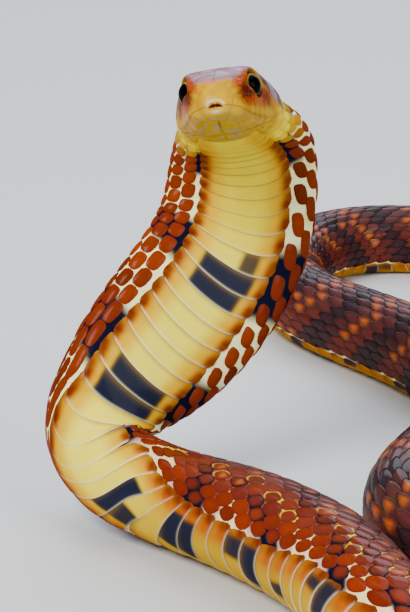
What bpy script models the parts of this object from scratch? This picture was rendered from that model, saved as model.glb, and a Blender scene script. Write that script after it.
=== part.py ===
# A large-eyed false cobra with its hood spread, as a still life-size museum model.
# The head and forebody are raised, and the rest of the body lies in loops on the floor.
# Lengths below are in millimetres and turn into metres when a mesh is made.
# The arc length s runs from the snout tip (0) along the animal's middle line to the tail tip.

import bpy
import math
import numpy as np

MM = 0.001
GAP = 0.3                       # space kept between pieces that touch
ORIGIN_SHIFT = (-64.98, -38.09) # brings the origin under the middle of the whole animal

# Head: the straight axis from the snout tip to the nape
SNOUT = (1.6, -31.0, 79.2)
NAPE = (5.2, -0.7, 69.6)
HEAD_ROLL = 8.8                 # degrees, the animal's left side higher
JAW_END = 26.0                  # where the line of the mouth ends, behind the snout tip

# Eyes: centre behind the snout tip, to the side and above the mouth line
EYE_PLACE = (11.4, 4.45, 3.75)
EYE_RADIUS = 2.45
NOSTRIL_PLACE = (3.1, 4.75, 3.1)
NOSTRIL_RADIUS = 0.55

# Middle line, from behind the nape to the tail tip: the raised S, the bend at the floor,
# the stretch in front, the turn and the loops behind.
ROUTE = [
    (6.6, 6.2, 65.6), (6.9, 8.9, 58.8), (5.9, 8.4, 50.2), (3.4, 6.2, 43.9), (0.2, 3.4, 39.4),
    (-7.8, -1.2, 30.6), (-14.8, -4.8, 24.0), (-18.5, -7.2, 18.8), (-19.3, -9.0, 14.6), (-17.6, -12.0, 11.6),
    (-13.6, -16.2, 9.9), (-7.8, -21.2, 9.2), (-0.4, -27.8, 9.2), (7.9, -35.8, 9.2), (15.3, -45.3, 9.2),
    (21.2, -56.5, 9.3), (24.6, -69.4, 9.3), (29.4, -80.6, 9.3), (39.2, -85.4, 9.3), (48.8, -80.4, 9.3),
    (51.0, -69.4, 9.3), (47.0, -58.2, 9.3), (40.9, -47.4, 9.3), (36.8, -37.0, 9.2), (36.4, -26.4, 9.2),
    (39.8, -14.6, 9.1), (45.0, -3.4, 9.0), (50.2, 8.0, 9.0), (53.4, 19.0, 8.9), (54.2, 31.0, 8.8),
    (52.5, 46.0, 8.8), (46.5, 61.0, 8.7), (37.5, 76.0, 8.7), (27.0, 92.0, 8.6), (20.5, 110.0, 8.6),
    (20.0, 130.0, 8.5), (26.5, 149.0, 8.5), (40.0, 161.0, 8.4), (58.0, 161.5, 8.3), (77.0, 153.5, 8.2),
    (97.0, 147.0, 8.1), (118.0, 150.0, 8.0), (138.0, 148.0, 7.8), (150.0, 132.0, 7.5), (147.0, 111.0, 7.1),
    (130.0, 98.0, 6.7), (108.0, 92.0, 6.3), (92.0, 78.0, 5.8), (90.0, 58.0, 5.4), (103.0, 42.0, 5.0),
    (123.0, 34.0, 4.6), (137.0, 19.0, 4.2), (137.0, -2.0, 3.8), (122.0, -17.0, 3.4), (103.0, -25.0, 2.9),
    (90.0, -39.0, 2.4), (90.0, -58.0, 1.8), (105.0, -70.0, 1.0),
]
ROUTE_STEP = 0.15               # spacing of the points along the finished line
ROUTE_SOFTNESS = 3.0            # run over which the line is averaged, so that no bend is a kink
INNER_LIMIT = 0.9               # flesh reaches at most this share of the way to a bend's centre

# Which way the belly faces, by arc length. On the head it follows the head's own roll.
BELLY_KEYS = [
    (38, (0.09, -0.64, -0.76)), (46, (0.12, -0.97, -0.22)), (60, (0.26, -0.94, 0.24)),
    (78, (0.28, -0.94, 0.20)), (88, (0.30, -0.93, 0.20)), (95, (0.36, -0.92, 0.17)),
    (101, (0.08, -0.90, 0.44)), (108, (-0.49, -0.72, 0.50)), (114, (-0.61, -0.73, 0.30)),
    (120, (-0.64, -0.75, 0.17)), (127, (-0.63, -0.71, -0.31)), (135, (-0.55, -0.59, -0.59)),
    (150, (-0.62, -0.47, -0.62)), (160, (-0.70, -0.39, -0.60)), (170, (-0.86, -0.27, -0.43)),
    (180, (-0.94, -0.23, -0.26)), (192, (-0.77, -0.59, -0.22)), (205, (0.07, -0.79, -0.61)),
    (220, (0.46, -0.10, -0.88)), (240, (0.0, 0.0, -1.0)), (900, (0.0, 0.0, -1.0)),
]

# Cross-section by arc length: half width, height over the middle (back side), height under
# it (belly side), and how far the widest level sits above the middle line.
HALF_WIDTH = [
    (0, 0.3), (0.25, 1.9), (1, 3.2), (2.5, 4.3), (5, 5.2), (8, 6.0), (11, 6.6), (14, 7.2), (18, 8.0),
    (22, 8.8), (26, 9.4), (29, 9.6), (32, 10.1), (36, 11.6), (42, 13.2), (50, 14.2), (60, 14.9),
    (72, 15.1), (80, 14.7), (89, 13.2), (96, 11.3), (102, 9.9), (110, 8.8), (122, 8.8), (150, 9.6),
    (230, 9.7), (330, 9.2), (510, 8.7), (640, 7.4), (740, 5.7), (780, 5.0), (830, 2.9), (893, 0.5),
]
BACK_HEIGHT = [
    (0, 0.3), (0.25, 1.5), (1, 2.7), (2.5, 4.0), (5, 5.1), (8, 6.0), (11, 6.6), (14, 6.8), (18, 6.6),
    (22, 6.2), (26, 5.8), (32, 5.6), (42, 5.3), (52, 5.0), (70, 5.0), (80, 5.4), (90, 6.2), (100, 7.5),
    (112, 8.2), (122, 8.4), (150, 9.4), (230, 9.6), (330, 9.2), (510, 8.6), (640, 7.4), (740, 5.7),
    (780, 5.0), (830, 2.9), (893, 0.5),
]
BELLY_HEIGHT = [
    (0, 0.3), (0.25, 1.2), (1, 2.3), (2.5, 3.2), (5, 3.9), (8, 4.4), (11, 4.8), (14, 5.2), (18, 5.6),
    (22, 5.8), (26, 5.7), (32, 5.3), (42, 4.6), (60, 4.3), (72, 4.5), (80, 4.9), (90, 6.0), (100, 7.3),
    (112, 8.1), (122, 8.4), (150, 9.3), (230, 9.5), (330, 9.0), (510, 8.5), (640, 7.3), (740, 5.6),
    (780, 4.9), (830, 2.8), (893, 0.5),
]
LEVEL = [(0, 0.0), (1, 0.4), (5, 0.7), (11, 0.9), (18, 1.2), (26, 1.2), (32, 0.8), (42, 0.0), (900, 0.0)]
# Squareness of the outline over and under its widest level: 2 is an ellipse.
BACK_SQUARE = [
    (0, 2.1), (5, 2.6), (11, 3.3), (16, 3.3), (24, 2.8), (32, 2.1), (50, 1.9), (80, 1.9), (110, 2.0),
    (900, 2.0),
]
BELLY_SQUARE = [(0, 2.1), (20, 2.3), (40, 2.3), (70, 2.5), (110, 2.1), (200, 2.2), (900, 2.2)]

# Belly scutes: length along the body, half width round the body, and how far each rear
# edge bows back and stands up.
SCUTE_PITCH = [
    (32, 2.2), (42, 2.7), (55, 3.3), (80, 3.7), (120, 4.1), (170, 4.6), (330, 4.9), (640, 4.6), (790, 4.0),
    (900, 3.0),
]
SCUTE_HALF = [
    (0, 6.0), (32, 7.0), (45, 8.4), (60, 9.0), (130, 10.0), (330, 9.8), (640, 7.8), (780, 5.0), (900, 0.6),
]
SCUTE_BOW = 1.8
SCUTE_STEP = 0.3
SCUTE_EDGE = 0.3                # length of body over which a scute drops to the next one's root

# Lengths of body: name, start, whether its belly scutes are raised
BODY_LENGTHS = [
    ("hood_upper", 32, True), ("hood_lower", 64, True), ("neck", 92, True), ("body_1", 117, True),
    ("body_2", 168, True), ("body_3", 236, False), ("body_4", 276, False), ("body_5", 322, False),
    ("body_6", 372, False), ("body_7", 432, False), ("body_8", 490, False), ("body_9", 544, False),
    ("body_10", 598, False), ("body_11", 650, False), ("tail_1", 700, False), ("tail_2", 752, False),
    ("tail_3", 800, False), ("tail_4", 844, False),
]
PLAIN_RING_STEP = 6.5           # between the rings of a length without raised scutes
RING_POINTS = 26                # round a length with raised scutes
PLAIN_RING_POINTS = 18
TAIL_ROUND = 1.2                # the last stretch of the tail, which closes in a blunt tip

# Head outline: the line of the mouth sits at this height over the snout's own axis.
MOUTH_LINE = [
    (0, -0.2), (1, -0.5), (3, -0.9), (8, -1.4), (14, -1.35), (20, -0.5), (24, 0.6), (26, 1.0),
]
LIP_SWELL = 0.35                # how far the lips stand out beside the mouth line
LIP_WIDTH = 0.9                 # over how much height they do
BROW_SWELL = 0.55               # how far the brow stands out over each eye
BROW_LENGTH = 4.2
BROW_SIDE = 5.4                 # how far from the middle the brow is highest
BROW_WIDTH = 1.5
BROW_LEVEL = 4.5                # the height at which the brow starts
HEAD_STATIONS = (
    0.12, 0.5, 1.2, 2.2, 3.4, 4.8, 6.3, 7.9, 9.5, 11.1, 12.7, 14.3, 16.0, 18.0, 20.0, 22.0, 24.0, 25.4,
)
NAPE_STATIONS = (27.6, 29.6)
UPPER_POINTS = 27               # round the head from one end of the mouth line over the top to the other
LOWER_POINTS = 15               # the same under the chin
LID_POINTS = 11                 # across the flat top of the lower jaw

# Colours as linear RGB, with roughness
HEAD_YELLOW = (0.66, 0.42, 0.04, 0.38)
JAW_CREAM = (0.72, 0.60, 0.22, 0.40)
EYE_BLACK = (0.012, 0.011, 0.010, 0.08)
HOOD_ORANGE = (0.55, 0.26, 0.05, 0.42)
BODY_RED = (0.24, 0.07, 0.03, 0.45)
TAIL_RED = (0.19, 0.07, 0.035, 0.48)


def smooth_keys(s, keys):
    # A curve through the keys that never overshoots them: the slope at each key is the
    # harmonic mean of the slopes on both sides of it.
    x = np.array([key[0] for key in keys], float)
    v = np.array([key[1] for key in keys], float).reshape(len(keys), -1)
    secant = np.diff(v, axis=0) / np.diff(x)[:, None]
    slope = np.zeros_like(v)
    product = secant[:-1] * secant[1:]
    slope[1:-1] = np.where(product > 0, 2 * product / (secant[:-1] + secant[1:] + 1e-12), 0)
    s = np.asarray(s, float)
    k = np.clip(np.searchsorted(x, s, side="right") - 1, 0, len(x) - 2)
    h = (x[k + 1] - x[k])[..., None]
    u = np.clip((s - x[k])[..., None] / h, 0, 1)
    held = v[k] * (1 + 2 * u) * (1 - u) ** 2 + v[k + 1] * u * u * (3 - 2 * u)
    return held + slope[k] * h * u * (1 - u) ** 2 - slope[k + 1] * h * u * u * (1 - u)


def value(s, keys):
    return smooth_keys(s, keys)[..., 0]


def arc_lengths(points):
    return np.concatenate([[0], np.cumsum(np.linalg.norm(np.diff(points, axis=0), axis=1))])


def spline_through(points, count):
    # The natural cubic spline through the points, read at evenly spaced chord lengths.
    t = arc_lengths(points)
    h = np.diff(t)
    size = len(t)
    matrix = np.eye(size)
    right = np.zeros((size, 3))
    i = np.arange(1, size - 1)
    matrix[i, i - 1] = h[:-1]
    matrix[i, i] = 2 * (h[:-1] + h[1:])
    matrix[i, i + 1] = h[1:]
    secant = np.diff(points, axis=0) / h[:, None]
    right[1:-1] = 6 * np.diff(secant, axis=0)
    bend = np.linalg.solve(matrix, right)
    u = np.linspace(0, t[-1], count)
    k = np.clip(np.searchsorted(t, u, side="right") - 1, 0, size - 2)
    hk = h[k][:, None]
    a = (u - t[k])[:, None]
    r = hk - a
    cubic = (bend[k] * r ** 3 + bend[k + 1] * a ** 3) / (6 * hk)
    cubic += (points[k] / hk - bend[k] * hk / 6) * r
    return cubic + (points[k + 1] / hk - bend[k + 1] * hk / 6) * a


class MiddleLine:
    # The animal's middle line with its tangent, curvature and belly direction at any arc length.
    def __init__(self):
        snout = np.array(SNOUT)
        nape = np.array(NAPE)
        axis = [snout + (nape - snout) * share for share in (0, 0.33, 0.67, 1)]
        points = np.vstack([axis, ROUTE])
        points[:, :2] += ORIGIN_SHIFT
        line = spline_through(points, 6000)
        arc = arc_lengths(line)
        even = np.arange(0, arc[-1], ROUTE_STEP)
        line = np.stack([np.interp(even, arc, line[:, k]) for k in range(3)], -1)
        reach = int(4 * ROUTE_SOFTNESS / ROUTE_STEP)
        weight = np.exp(-0.5 * (np.arange(-reach, reach + 1) * ROUTE_STEP / ROUTE_SOFTNESS) ** 2)
        weight /= weight.sum()
        before = 2 * line[0] - line[reach:0:-1]
        after = 2 * line[-1] - line[-2:-reach - 2:-1]
        padded = np.vstack([before, line, after])
        self.line = np.stack([np.convolve(padded[:, k], weight, "valid") for k in range(3)], -1)
        self.arc = arc_lengths(self.line)
        self.length = self.arc[-1]
        tangent = np.gradient(self.line, self.arc, axis=0)
        self.tangent = tangent / np.linalg.norm(tangent, axis=1)[:, None]
        self.curvature = np.gradient(self.tangent, self.arc, axis=0)
        self.forward = (snout - nape) / np.linalg.norm(snout - nape)
        level_up = np.array([0, 0, 1]) - self.forward[2] * self.forward
        level_up /= np.linalg.norm(level_up)
        level_left = np.cross(level_up, self.forward)
        roll = math.radians(HEAD_ROLL)
        self.left = math.cos(roll) * level_left + math.sin(roll) * level_up
        self.up = math.cos(roll) * level_up - math.sin(roll) * level_left
        under = tuple(-self.up)
        self.belly_keys = [(0, under), (30, under)] + BELLY_KEYS

    def read(self, table, s):
        return np.stack([np.interp(s, self.arc, table[:, k]) for k in range(3)], -1)

    def frame(self, s):
        centre = self.read(self.line, s)
        tangent = self.read(self.tangent, s)
        tangent /= np.linalg.norm(tangent, axis=-1)[..., None]
        belly = smooth_keys(s, self.belly_keys)
        belly -= (belly * tangent).sum(-1)[..., None] * tangent
        belly /= np.linalg.norm(belly, axis=-1)[..., None]
        return centre, belly, np.cross(belly, tangent)

    def head_point(self, behind, side, height):
        return self.line[0] - self.forward * behind + self.left * side + self.up * height


def section(s, turn):
    # One cross-section at s. turn runs from 0 at the back to 1 at the belly on the left side
    # and to -1 on the right, in equal shares of the outline. Returns the sideways and upward
    # offsets and the length of half the outline.
    angle = np.linspace(0, math.pi, 181)
    over = np.cos(angle) >= 0
    power = 2 / np.where(over, value(s, BACK_SQUARE), value(s, BELLY_SQUARE))
    height = np.where(over, value(s, BACK_HEIGHT), -value(s, BELLY_HEIGHT))
    side = value(s, HALF_WIDTH) * np.abs(np.sin(angle)) ** power
    up = height * np.abs(np.cos(angle)) ** power
    run = np.concatenate([[0], np.cumsum(np.hypot(np.diff(side), np.diff(up)))])
    at = np.abs(turn) * run[-1]
    side = np.sign(turn) * np.interp(at, run, side)
    up = np.interp(at, run, up) + value(s, LEVEL)
    return side, up, run[-1]


def place(line, s, side, up):
    # Offsets at arc length s to points in space, held short of the centre of a tight bend
    # and laid on small flats where they would pass below the floor.
    centre, belly, left = line.frame(s)
    offset = left * side[..., None] - belly * up[..., None]
    bend = line.read(line.curvature, s)
    strength = np.linalg.norm(bend, axis=-1)
    inward = bend / (strength[..., None] + 1e-9)
    reach = (offset * inward).sum(-1)
    limit = INNER_LIMIT / (strength + 1e-9)
    offset -= inward * np.maximum(reach - limit, 0)[..., None]
    points = centre + offset
    points[..., 2] = np.maximum(points[..., 2], 0.0)
    return points


def face_outwards(vertices, faces):
    # Reverses every face when the enclosed volume comes out negative.
    inner = vertices.mean(axis=0)
    volume = 0.0
    for face in faces:
        corners = vertices[list(face)] - inner
        for k in range(1, len(face) - 1):
            volume += np.dot(corners[0], np.cross(corners[k], corners[k + 1]))
    return faces if volume > 0 else [tuple(reversed(face)) for face in faces]


def loft(rings, start_cap=None, end_cap=None):
    # Skin over rings of equal count, closed by a fan at each end, as vertices and faces.
    rings = np.asarray(rings)
    rows, count = rings.shape[:2]
    vertices = rings.reshape(-1, 3).tolist()
    faces = []
    for row in range(rows - 1):
        for k in range(count):
            a = row * count + k
            b = row * count + (k + 1) % count
            faces.append((a, a + count, b + count, b))
    for row, cap, flip in ((0, start_cap, False), (rows - 1, end_cap, True)):
        middle = len(vertices)
        point = rings[row].mean(axis=0) if cap is None else np.asarray(cap)
        vertices.append(point.tolist())
        for k in range(count):
            a = row * count + k
            b = row * count + (k + 1) % count
            faces.append((middle, b, a) if flip else (middle, a, b))
    return vertices, face_outwards(np.array(vertices), faces)


def make_material(name, look):
    material = bpy.data.materials.new(name)
    material.use_nodes = True
    shader = material.node_tree.nodes["Principled BSDF"]
    shader.inputs["Base Color"].default_value = (look[0], look[1], look[2], 1.0)
    shader.inputs["Roughness"].default_value = look[3]
    shader.inputs["Metallic"].default_value = 0.0
    return material


def make_object(name, vertices, faces, look):
    mesh = bpy.data.meshes.new(name)
    mesh.from_pydata([tuple(c * MM for c in vertex) for vertex in vertices], [], faces)
    mesh.materials.append(make_material(name, look))
    mesh.update()
    mesh.shade_smooth()
    mesh.set_sharp_from_angle(angle=math.radians(50))
    piece = bpy.data.objects.new(name, mesh)
    bpy.context.scene.collection.objects.link(piece)
    return piece


def belly_stretch(line, s):
    # How many times longer a bend makes the belly than the middle line at s.
    belly = line.frame(np.array([s]))[1]
    bend = line.read(line.curvature, np.array([s]))
    return float(np.clip(1 - (bend * belly).sum() * value(s, BELLY_HEIGHT), 0.8, 2.2))


def scute_starts(line):
    # Arc lengths of the front edges of the belly scutes, from the throat to the tail.
    starts = [BODY_LENGTHS[0][1] + GAP]
    while starts[-1] < line.length - 60:
        starts.append(starts[-1] + float(value(starts[-1], SCUTE_PITCH)) / belly_stretch(line, starts[-1]))
    return starts


def body_turns(s, count):
    # Shares round a body ring, closer together over the width of the belly scute.
    half = section(s, np.zeros(1))[2]
    edge = 1 - float(value(s, SCUTE_HALF)) / half
    belly_points = count // 2 - 2
    back = np.linspace(-edge, edge, count - belly_points + 1)
    belly = np.linspace(edge, 2 - edge, belly_points + 1)[1:-1]
    return np.concatenate([back, np.where(belly > 1, belly - 2, belly)]), edge


def body_ring(line, s, count, bow, lift, front, rear):
    turn, edge = body_turns(s, count)
    side, up = section(s, turn)[:2]
    across = np.clip((1 - np.abs(turn)) / (1 - edge), 0, 1)
    spread = 1 - across ** 2
    raised = lift * np.clip(1.6 * (1 - across), 0, 1) ** 0.5
    length = np.hypot(side, up)
    side = side * (1 + raised / length)
    up = up * (1 + raised / length)
    stations = np.clip(s + bow * spread, front, rear)
    return place(line, stations, side, up)


def make_body_lengths(line):
    starts = scute_starts(line)
    ends = [entry[1] for entry in BODY_LENGTHS[1:]] + [line.length]
    for (name, start, raised), end in zip(BODY_LENGTHS, ends):
        front = start + GAP / 2
        rear = end - GAP / 2
        is_tip = name == BODY_LENGTHS[-1][0]
        count = RING_POINTS if raised else PLAIN_RING_POINTS
        rings = [body_ring(line, front, count, 0, 0, front, rear)]
        if raised:
            margin = SCUTE_BOW + SCUTE_EDGE
            for scute in starts:
                if front + 1.0 < scute < rear - margin:
                    bow = SCUTE_BOW / belly_stretch(line, scute)
                    for s, lift in ((scute - SCUTE_EDGE / 2, SCUTE_STEP), (scute + SCUTE_EDGE / 2, 0)):
                        rings.append(body_ring(line, s, count, bow, lift, front, rear))
        else:
            last = rear - TAIL_ROUND if is_tip else rear
            steps = max(2, round((last - front) / PLAIN_RING_STEP))
            for s in np.linspace(front, last, steps + 1)[1:-1]:
                rings.append(body_ring(line, s, count, 0, 0, front, rear))
        if is_tip:
            rings.append(body_ring(line, rear - TAIL_ROUND, count, 0, 0, front, rear))
            tip = line.read(line.line, rear)
            vertices, faces = loft(rings, None, tip)
        else:
            rings.append(body_ring(line, rear, count, 0, 0, front, rear))
            vertices, faces = loft(rings)
        if name.startswith("tail"):
            look = TAIL_RED
        elif name.startswith("body"):
            look = BODY_RED
        else:
            look = HOOD_ORANGE
        make_object(name, vertices, faces, look)


def mouth_turn(s, lift):
    # The share of the outline at which the mouth line, moved up by lift, meets the cheek.
    turn = np.linspace(0.3, 0.98, 200)
    up = section(s, turn)[1]
    height = value(s, MOUTH_LINE) + lift
    return float(np.interp(-height, -up, turn))


def swell(s, side, up):
    # Outward factor from the lips and from the brow over each eye.
    lip = LIP_SWELL * np.exp(-((up - value(s, MOUTH_LINE)) / LIP_WIDTH) ** 2)
    lip = lip * np.clip((JAW_END - s) / 6, 0, 1) * np.clip(s / 2, 0, 1)
    brow = BROW_SWELL * np.exp(-((s - EYE_PLACE[0]) / BROW_LENGTH) ** 2)
    brow = brow * np.exp(-((np.abs(side) - BROW_SIDE) / BROW_WIDTH) ** 2)
    brow = brow * np.clip((up - BROW_LEVEL) / 2, 0, 1)
    length = np.hypot(side, up)
    return 1 + (lip + brow) / np.maximum(length, 0.5)


def head_ring(line, s, turn):
    side, up = section(s, turn)[:2]
    factor = swell(s, side, up)
    side = side * factor
    up = up * factor
    return place(line, np.full(len(turn), s), side, up)


def flat_ring(line, s, edge, count):
    # Points straight across the head between the two ends of the mouth line.
    side, up = section(s, np.array([edge]))[:2]
    factor = swell(s, side, up)
    across = np.linspace(1, -1, count + 2)[1:-1] * side[0] * factor[0]
    return place(line, np.full(count, s), across, np.full(count, up[0] * factor[0]))


def make_head(line):
    # The head without its lower jaw: flat underneath as far as the jaw's end, round behind it.
    jaw_cut = JAW_END + GAP / 2
    nape_end = BODY_LENGTHS[0][1] - GAP / 2
    rings = []
    stations = [*HEAD_STATIONS, jaw_cut - 0.05, jaw_cut + 0.05, *NAPE_STATIONS, nape_end]
    for s in stations:
        edge = mouth_turn(min(s, JAW_END), GAP / 2)
        over = np.linspace(-edge, edge, UPPER_POINTS)
        if s < jaw_cut:
            under = flat_ring(line, s, edge, LOWER_POINTS)
        else:
            rest = np.linspace(edge, 2 - edge, LOWER_POINTS + 2)[1:-1]
            under = head_ring(line, s, np.where(rest > 1, rest - 2, rest))
        rings.append(np.vstack([head_ring(line, s, over), under]))
    vertices, faces = loft(rings)
    return make_object("head", vertices, faces, HEAD_YELLOW)


def make_jaw(line):
    rings = []
    for s in (*HEAD_STATIONS[1:], JAW_END - GAP / 2):
        edge = mouth_turn(s, -GAP / 2)
        rest = np.linspace(edge, 2 - edge, LOWER_POINTS)
        under = head_ring(line, s, np.where(rest > 1, rest - 2, rest))
        lid = flat_ring(line, s, edge, LID_POINTS)[::-1]
        rings.append(np.vstack([under, lid]))
    vertices, faces = loft(rings)
    make_object("lower_jaw", vertices, faces, JAW_CREAM)


def ball(centre, radius, segments, rows):
    # A closed ball as vertices and faces, in millimetres.
    angle = np.linspace(0, math.pi, rows + 1)[1:-1]
    around = np.linspace(0, 2 * math.pi, segments, endpoint=False)
    out = np.sin(angle)[:, None]
    height = np.cos(angle)[:, None] * np.ones(segments)
    rings = np.stack([out * np.cos(around), out * np.sin(around), height], -1) * radius + centre
    pole = np.array([0, 0, radius])
    return loft(rings, centre + pole, centre - pole)


def cut(piece, cutter):
    cutter.hide_render = True
    cutter.display_type = "WIRE"
    modifier = piece.modifiers.new("cut_" + cutter.name, "BOOLEAN")
    modifier.operation = "DIFFERENCE"
    modifier.solver = "EXACT"
    modifier.object = cutter


def make_eyes_and_nostrils(line, head):
    behind, out, height = EYE_PLACE
    for side, word in ((1, "left"), (-1, "right")):
        centre = line.head_point(behind, side * out, height)
        vertices, faces = ball(centre, EYE_RADIUS, 20, 12)
        make_object("eye_" + word, vertices, faces, EYE_BLACK)
        vertices, faces = ball(centre, EYE_RADIUS + GAP, 20, 12)
        cut(head, make_object("socket_" + word, vertices, faces, EYE_BLACK))
        nostril = line.head_point(NOSTRIL_PLACE[0], side * NOSTRIL_PLACE[1], NOSTRIL_PLACE[2])
        vertices, faces = ball(nostril, NOSTRIL_RADIUS, 10, 6)
        cut(head, make_object("nostril_" + word, vertices, faces, EYE_BLACK))


def main():
    for old in list(bpy.data.objects):
        bpy.data.objects.remove(old, do_unlink=True)
    line = MiddleLine()
    head = make_head(line)
    make_jaw(line)
    make_eyes_and_nostrils(line, head)
    make_body_lengths(line)


main()
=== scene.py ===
# A large-eyed false cobra as a still museum model: skin, scales, scutes, head shields and eyes.
# Shape functions work in millimetres along the animal: s is the arc length from the snout tip,
# turn goes round the body from 0 at the back to 1 at the belly on its left side and -1 on its right.

import bpy
import math
import numpy as np
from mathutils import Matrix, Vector
from types import SimpleNamespace


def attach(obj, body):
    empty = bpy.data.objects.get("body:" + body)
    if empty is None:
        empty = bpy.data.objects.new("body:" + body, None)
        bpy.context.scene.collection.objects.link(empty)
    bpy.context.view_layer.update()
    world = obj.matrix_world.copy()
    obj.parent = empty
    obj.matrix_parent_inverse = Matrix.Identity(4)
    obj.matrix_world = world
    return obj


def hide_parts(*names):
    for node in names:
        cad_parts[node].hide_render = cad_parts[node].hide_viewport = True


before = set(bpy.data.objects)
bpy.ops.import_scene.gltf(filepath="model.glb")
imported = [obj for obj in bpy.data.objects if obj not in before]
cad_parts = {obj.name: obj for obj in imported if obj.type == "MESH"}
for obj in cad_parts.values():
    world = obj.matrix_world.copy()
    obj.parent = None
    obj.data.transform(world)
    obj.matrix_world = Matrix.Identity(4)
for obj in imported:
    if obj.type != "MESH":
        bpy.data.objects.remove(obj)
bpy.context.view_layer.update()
rng = np.random.default_rng(7)
mm = 0.001

# The animal's middle line and sections, the same values as the solids.

# An arc length past the tail's tip, where tables end and by which the UV maps are scaled.
pastTail = 900
originShift = (-64.98, -38.09)
snout = np.array([1.6, -31.0, 79.2])
nape = np.array([5.2, -0.7, 69.6])
headRoll = math.radians(8.8)
route = [
    (6.6, 6.2, 65.6), (6.9, 8.9, 58.8), (5.9, 8.4, 50.2), (3.4, 6.2, 43.9), (0.2, 3.4, 39.4),
    (-7.8, -1.2, 30.6), (-14.8, -4.8, 24.0), (-18.5, -7.2, 18.8), (-19.3, -9.0, 14.6), (-17.6, -12.0, 11.6),
    (-13.6, -16.2, 9.9), (-7.8, -21.2, 9.2), (-0.4, -27.8, 9.2), (7.9, -35.8, 9.2), (15.3, -45.3, 9.2),
    (21.2, -56.5, 9.3), (24.6, -69.4, 9.3), (29.4, -80.6, 9.3), (39.2, -85.4, 9.3), (48.8, -80.4, 9.3),
    (51.0, -69.4, 9.3), (47.0, -58.2, 9.3), (40.9, -47.4, 9.3), (36.8, -37.0, 9.2), (36.4, -26.4, 9.2),
    (39.8, -14.6, 9.1), (45.0, -3.4, 9.0), (50.2, 8.0, 9.0), (53.4, 19.0, 8.9), (54.2, 31.0, 8.8),
    (52.5, 46.0, 8.8), (46.5, 61.0, 8.7), (37.5, 76.0, 8.7), (27.0, 92.0, 8.6), (20.5, 110.0, 8.6),
    (20.0, 130.0, 8.5), (26.5, 149.0, 8.5), (40.0, 161.0, 8.4), (58.0, 161.5, 8.3), (77.0, 153.5, 8.2),
    (97.0, 147.0, 8.1), (118.0, 150.0, 8.0), (138.0, 148.0, 7.8), (150.0, 132.0, 7.5), (147.0, 111.0, 7.1),
    (130.0, 98.0, 6.7), (108.0, 92.0, 6.3), (92.0, 78.0, 5.8), (90.0, 58.0, 5.4), (103.0, 42.0, 5.0),
    (123.0, 34.0, 4.6), (137.0, 19.0, 4.2), (137.0, -2.0, 3.8), (122.0, -17.0, 3.4), (103.0, -25.0, 2.9),
    (90.0, -39.0, 2.4), (90.0, -58.0, 1.8), (105.0, -70.0, 1.0),
]
bellyKeys = [
    (38, (0.09, -0.64, -0.76)), (46, (0.12, -0.97, -0.22)), (60, (0.26, -0.94, 0.24)),
    (78, (0.28, -0.94, 0.20)), (88, (0.30, -0.93, 0.20)), (95, (0.36, -0.92, 0.17)),
    (101, (0.08, -0.90, 0.44)), (108, (-0.49, -0.72, 0.50)), (114, (-0.61, -0.73, 0.30)),
    (120, (-0.64, -0.75, 0.17)), (127, (-0.63, -0.71, -0.31)), (135, (-0.55, -0.59, -0.59)),
    (150, (-0.62, -0.47, -0.62)), (160, (-0.70, -0.39, -0.60)), (170, (-0.86, -0.27, -0.43)),
    (180, (-0.94, -0.23, -0.26)), (192, (-0.77, -0.59, -0.22)), (205, (0.07, -0.79, -0.61)),
    (220, (0.46, -0.10, -0.88)), (240, (0.0, 0.0, -1.0)), (pastTail, (0.0, 0.0, -1.0)),
]
halfWidth = [
    (0, 0.3), (0.25, 1.9), (1, 3.2), (2.5, 4.3), (5, 5.2), (8, 6.0), (11, 6.6), (14, 7.2), (18, 8.0),
    (22, 8.8), (26, 9.4), (29, 9.6), (32, 10.1), (36, 11.6), (42, 13.2), (50, 14.2), (60, 14.9),
    (72, 15.1), (80, 14.7), (89, 13.2), (96, 11.3), (102, 9.9), (110, 8.8), (122, 8.8), (150, 9.6),
    (230, 9.7), (330, 9.2), (510, 8.7), (640, 7.4), (740, 5.7), (780, 5.0), (830, 2.9), (893, 0.5),
]
backHeight = [
    (0, 0.3), (0.25, 1.5), (1, 2.7), (2.5, 4.0), (5, 5.1), (8, 6.0), (11, 6.6), (14, 6.8), (18, 6.6),
    (22, 6.2), (26, 5.8), (32, 5.6), (42, 5.3), (52, 5.0), (70, 5.0), (80, 5.4), (90, 6.2), (100, 7.5),
    (112, 8.2), (122, 8.4), (150, 9.4), (230, 9.6), (330, 9.2), (510, 8.6), (640, 7.4), (740, 5.7),
    (780, 5.0), (830, 2.9), (893, 0.5),
]
bellyHeight = [
    (0, 0.3), (0.25, 1.2), (1, 2.3), (2.5, 3.2), (5, 3.9), (8, 4.4), (11, 4.8), (14, 5.2), (18, 5.6),
    (22, 5.8), (26, 5.7), (32, 5.3), (42, 4.6), (60, 4.3), (72, 4.5), (80, 4.9), (90, 6.0), (100, 7.3),
    (112, 8.1), (122, 8.4), (150, 9.3), (230, 9.5), (330, 9.0), (510, 8.5), (640, 7.3), (740, 5.6),
    (780, 4.9), (830, 2.8), (893, 0.5),
]
level = [
    (0, 0.0), (1, 0.4), (5, 0.7), (11, 0.9), (18, 1.2), (26, 1.2), (32, 0.8), (42, 0.0), (pastTail, 0.0),
]
backSquare = [
    (0, 2.1), (5, 2.6), (11, 3.3), (16, 3.3), (24, 2.8), (32, 2.1), (50, 1.9), (80, 1.9), (110, 2.0),
    (pastTail, 2.0),
]
bellySquare = [(0, 2.1), (20, 2.3), (40, 2.3), (70, 2.5), (110, 2.1), (200, 2.2), (pastTail, 2.2)]
scutePitch = [
    (14, 5.4), (24, 4.6), (30, 2.6), (32, 2.2), (42, 2.7), (55, 3.3), (80, 3.7), (120, 4.1), (170, 4.6),
    (330, 4.9), (640, 4.6), (790, 4.0), (pastTail, 3.0),
]
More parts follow.
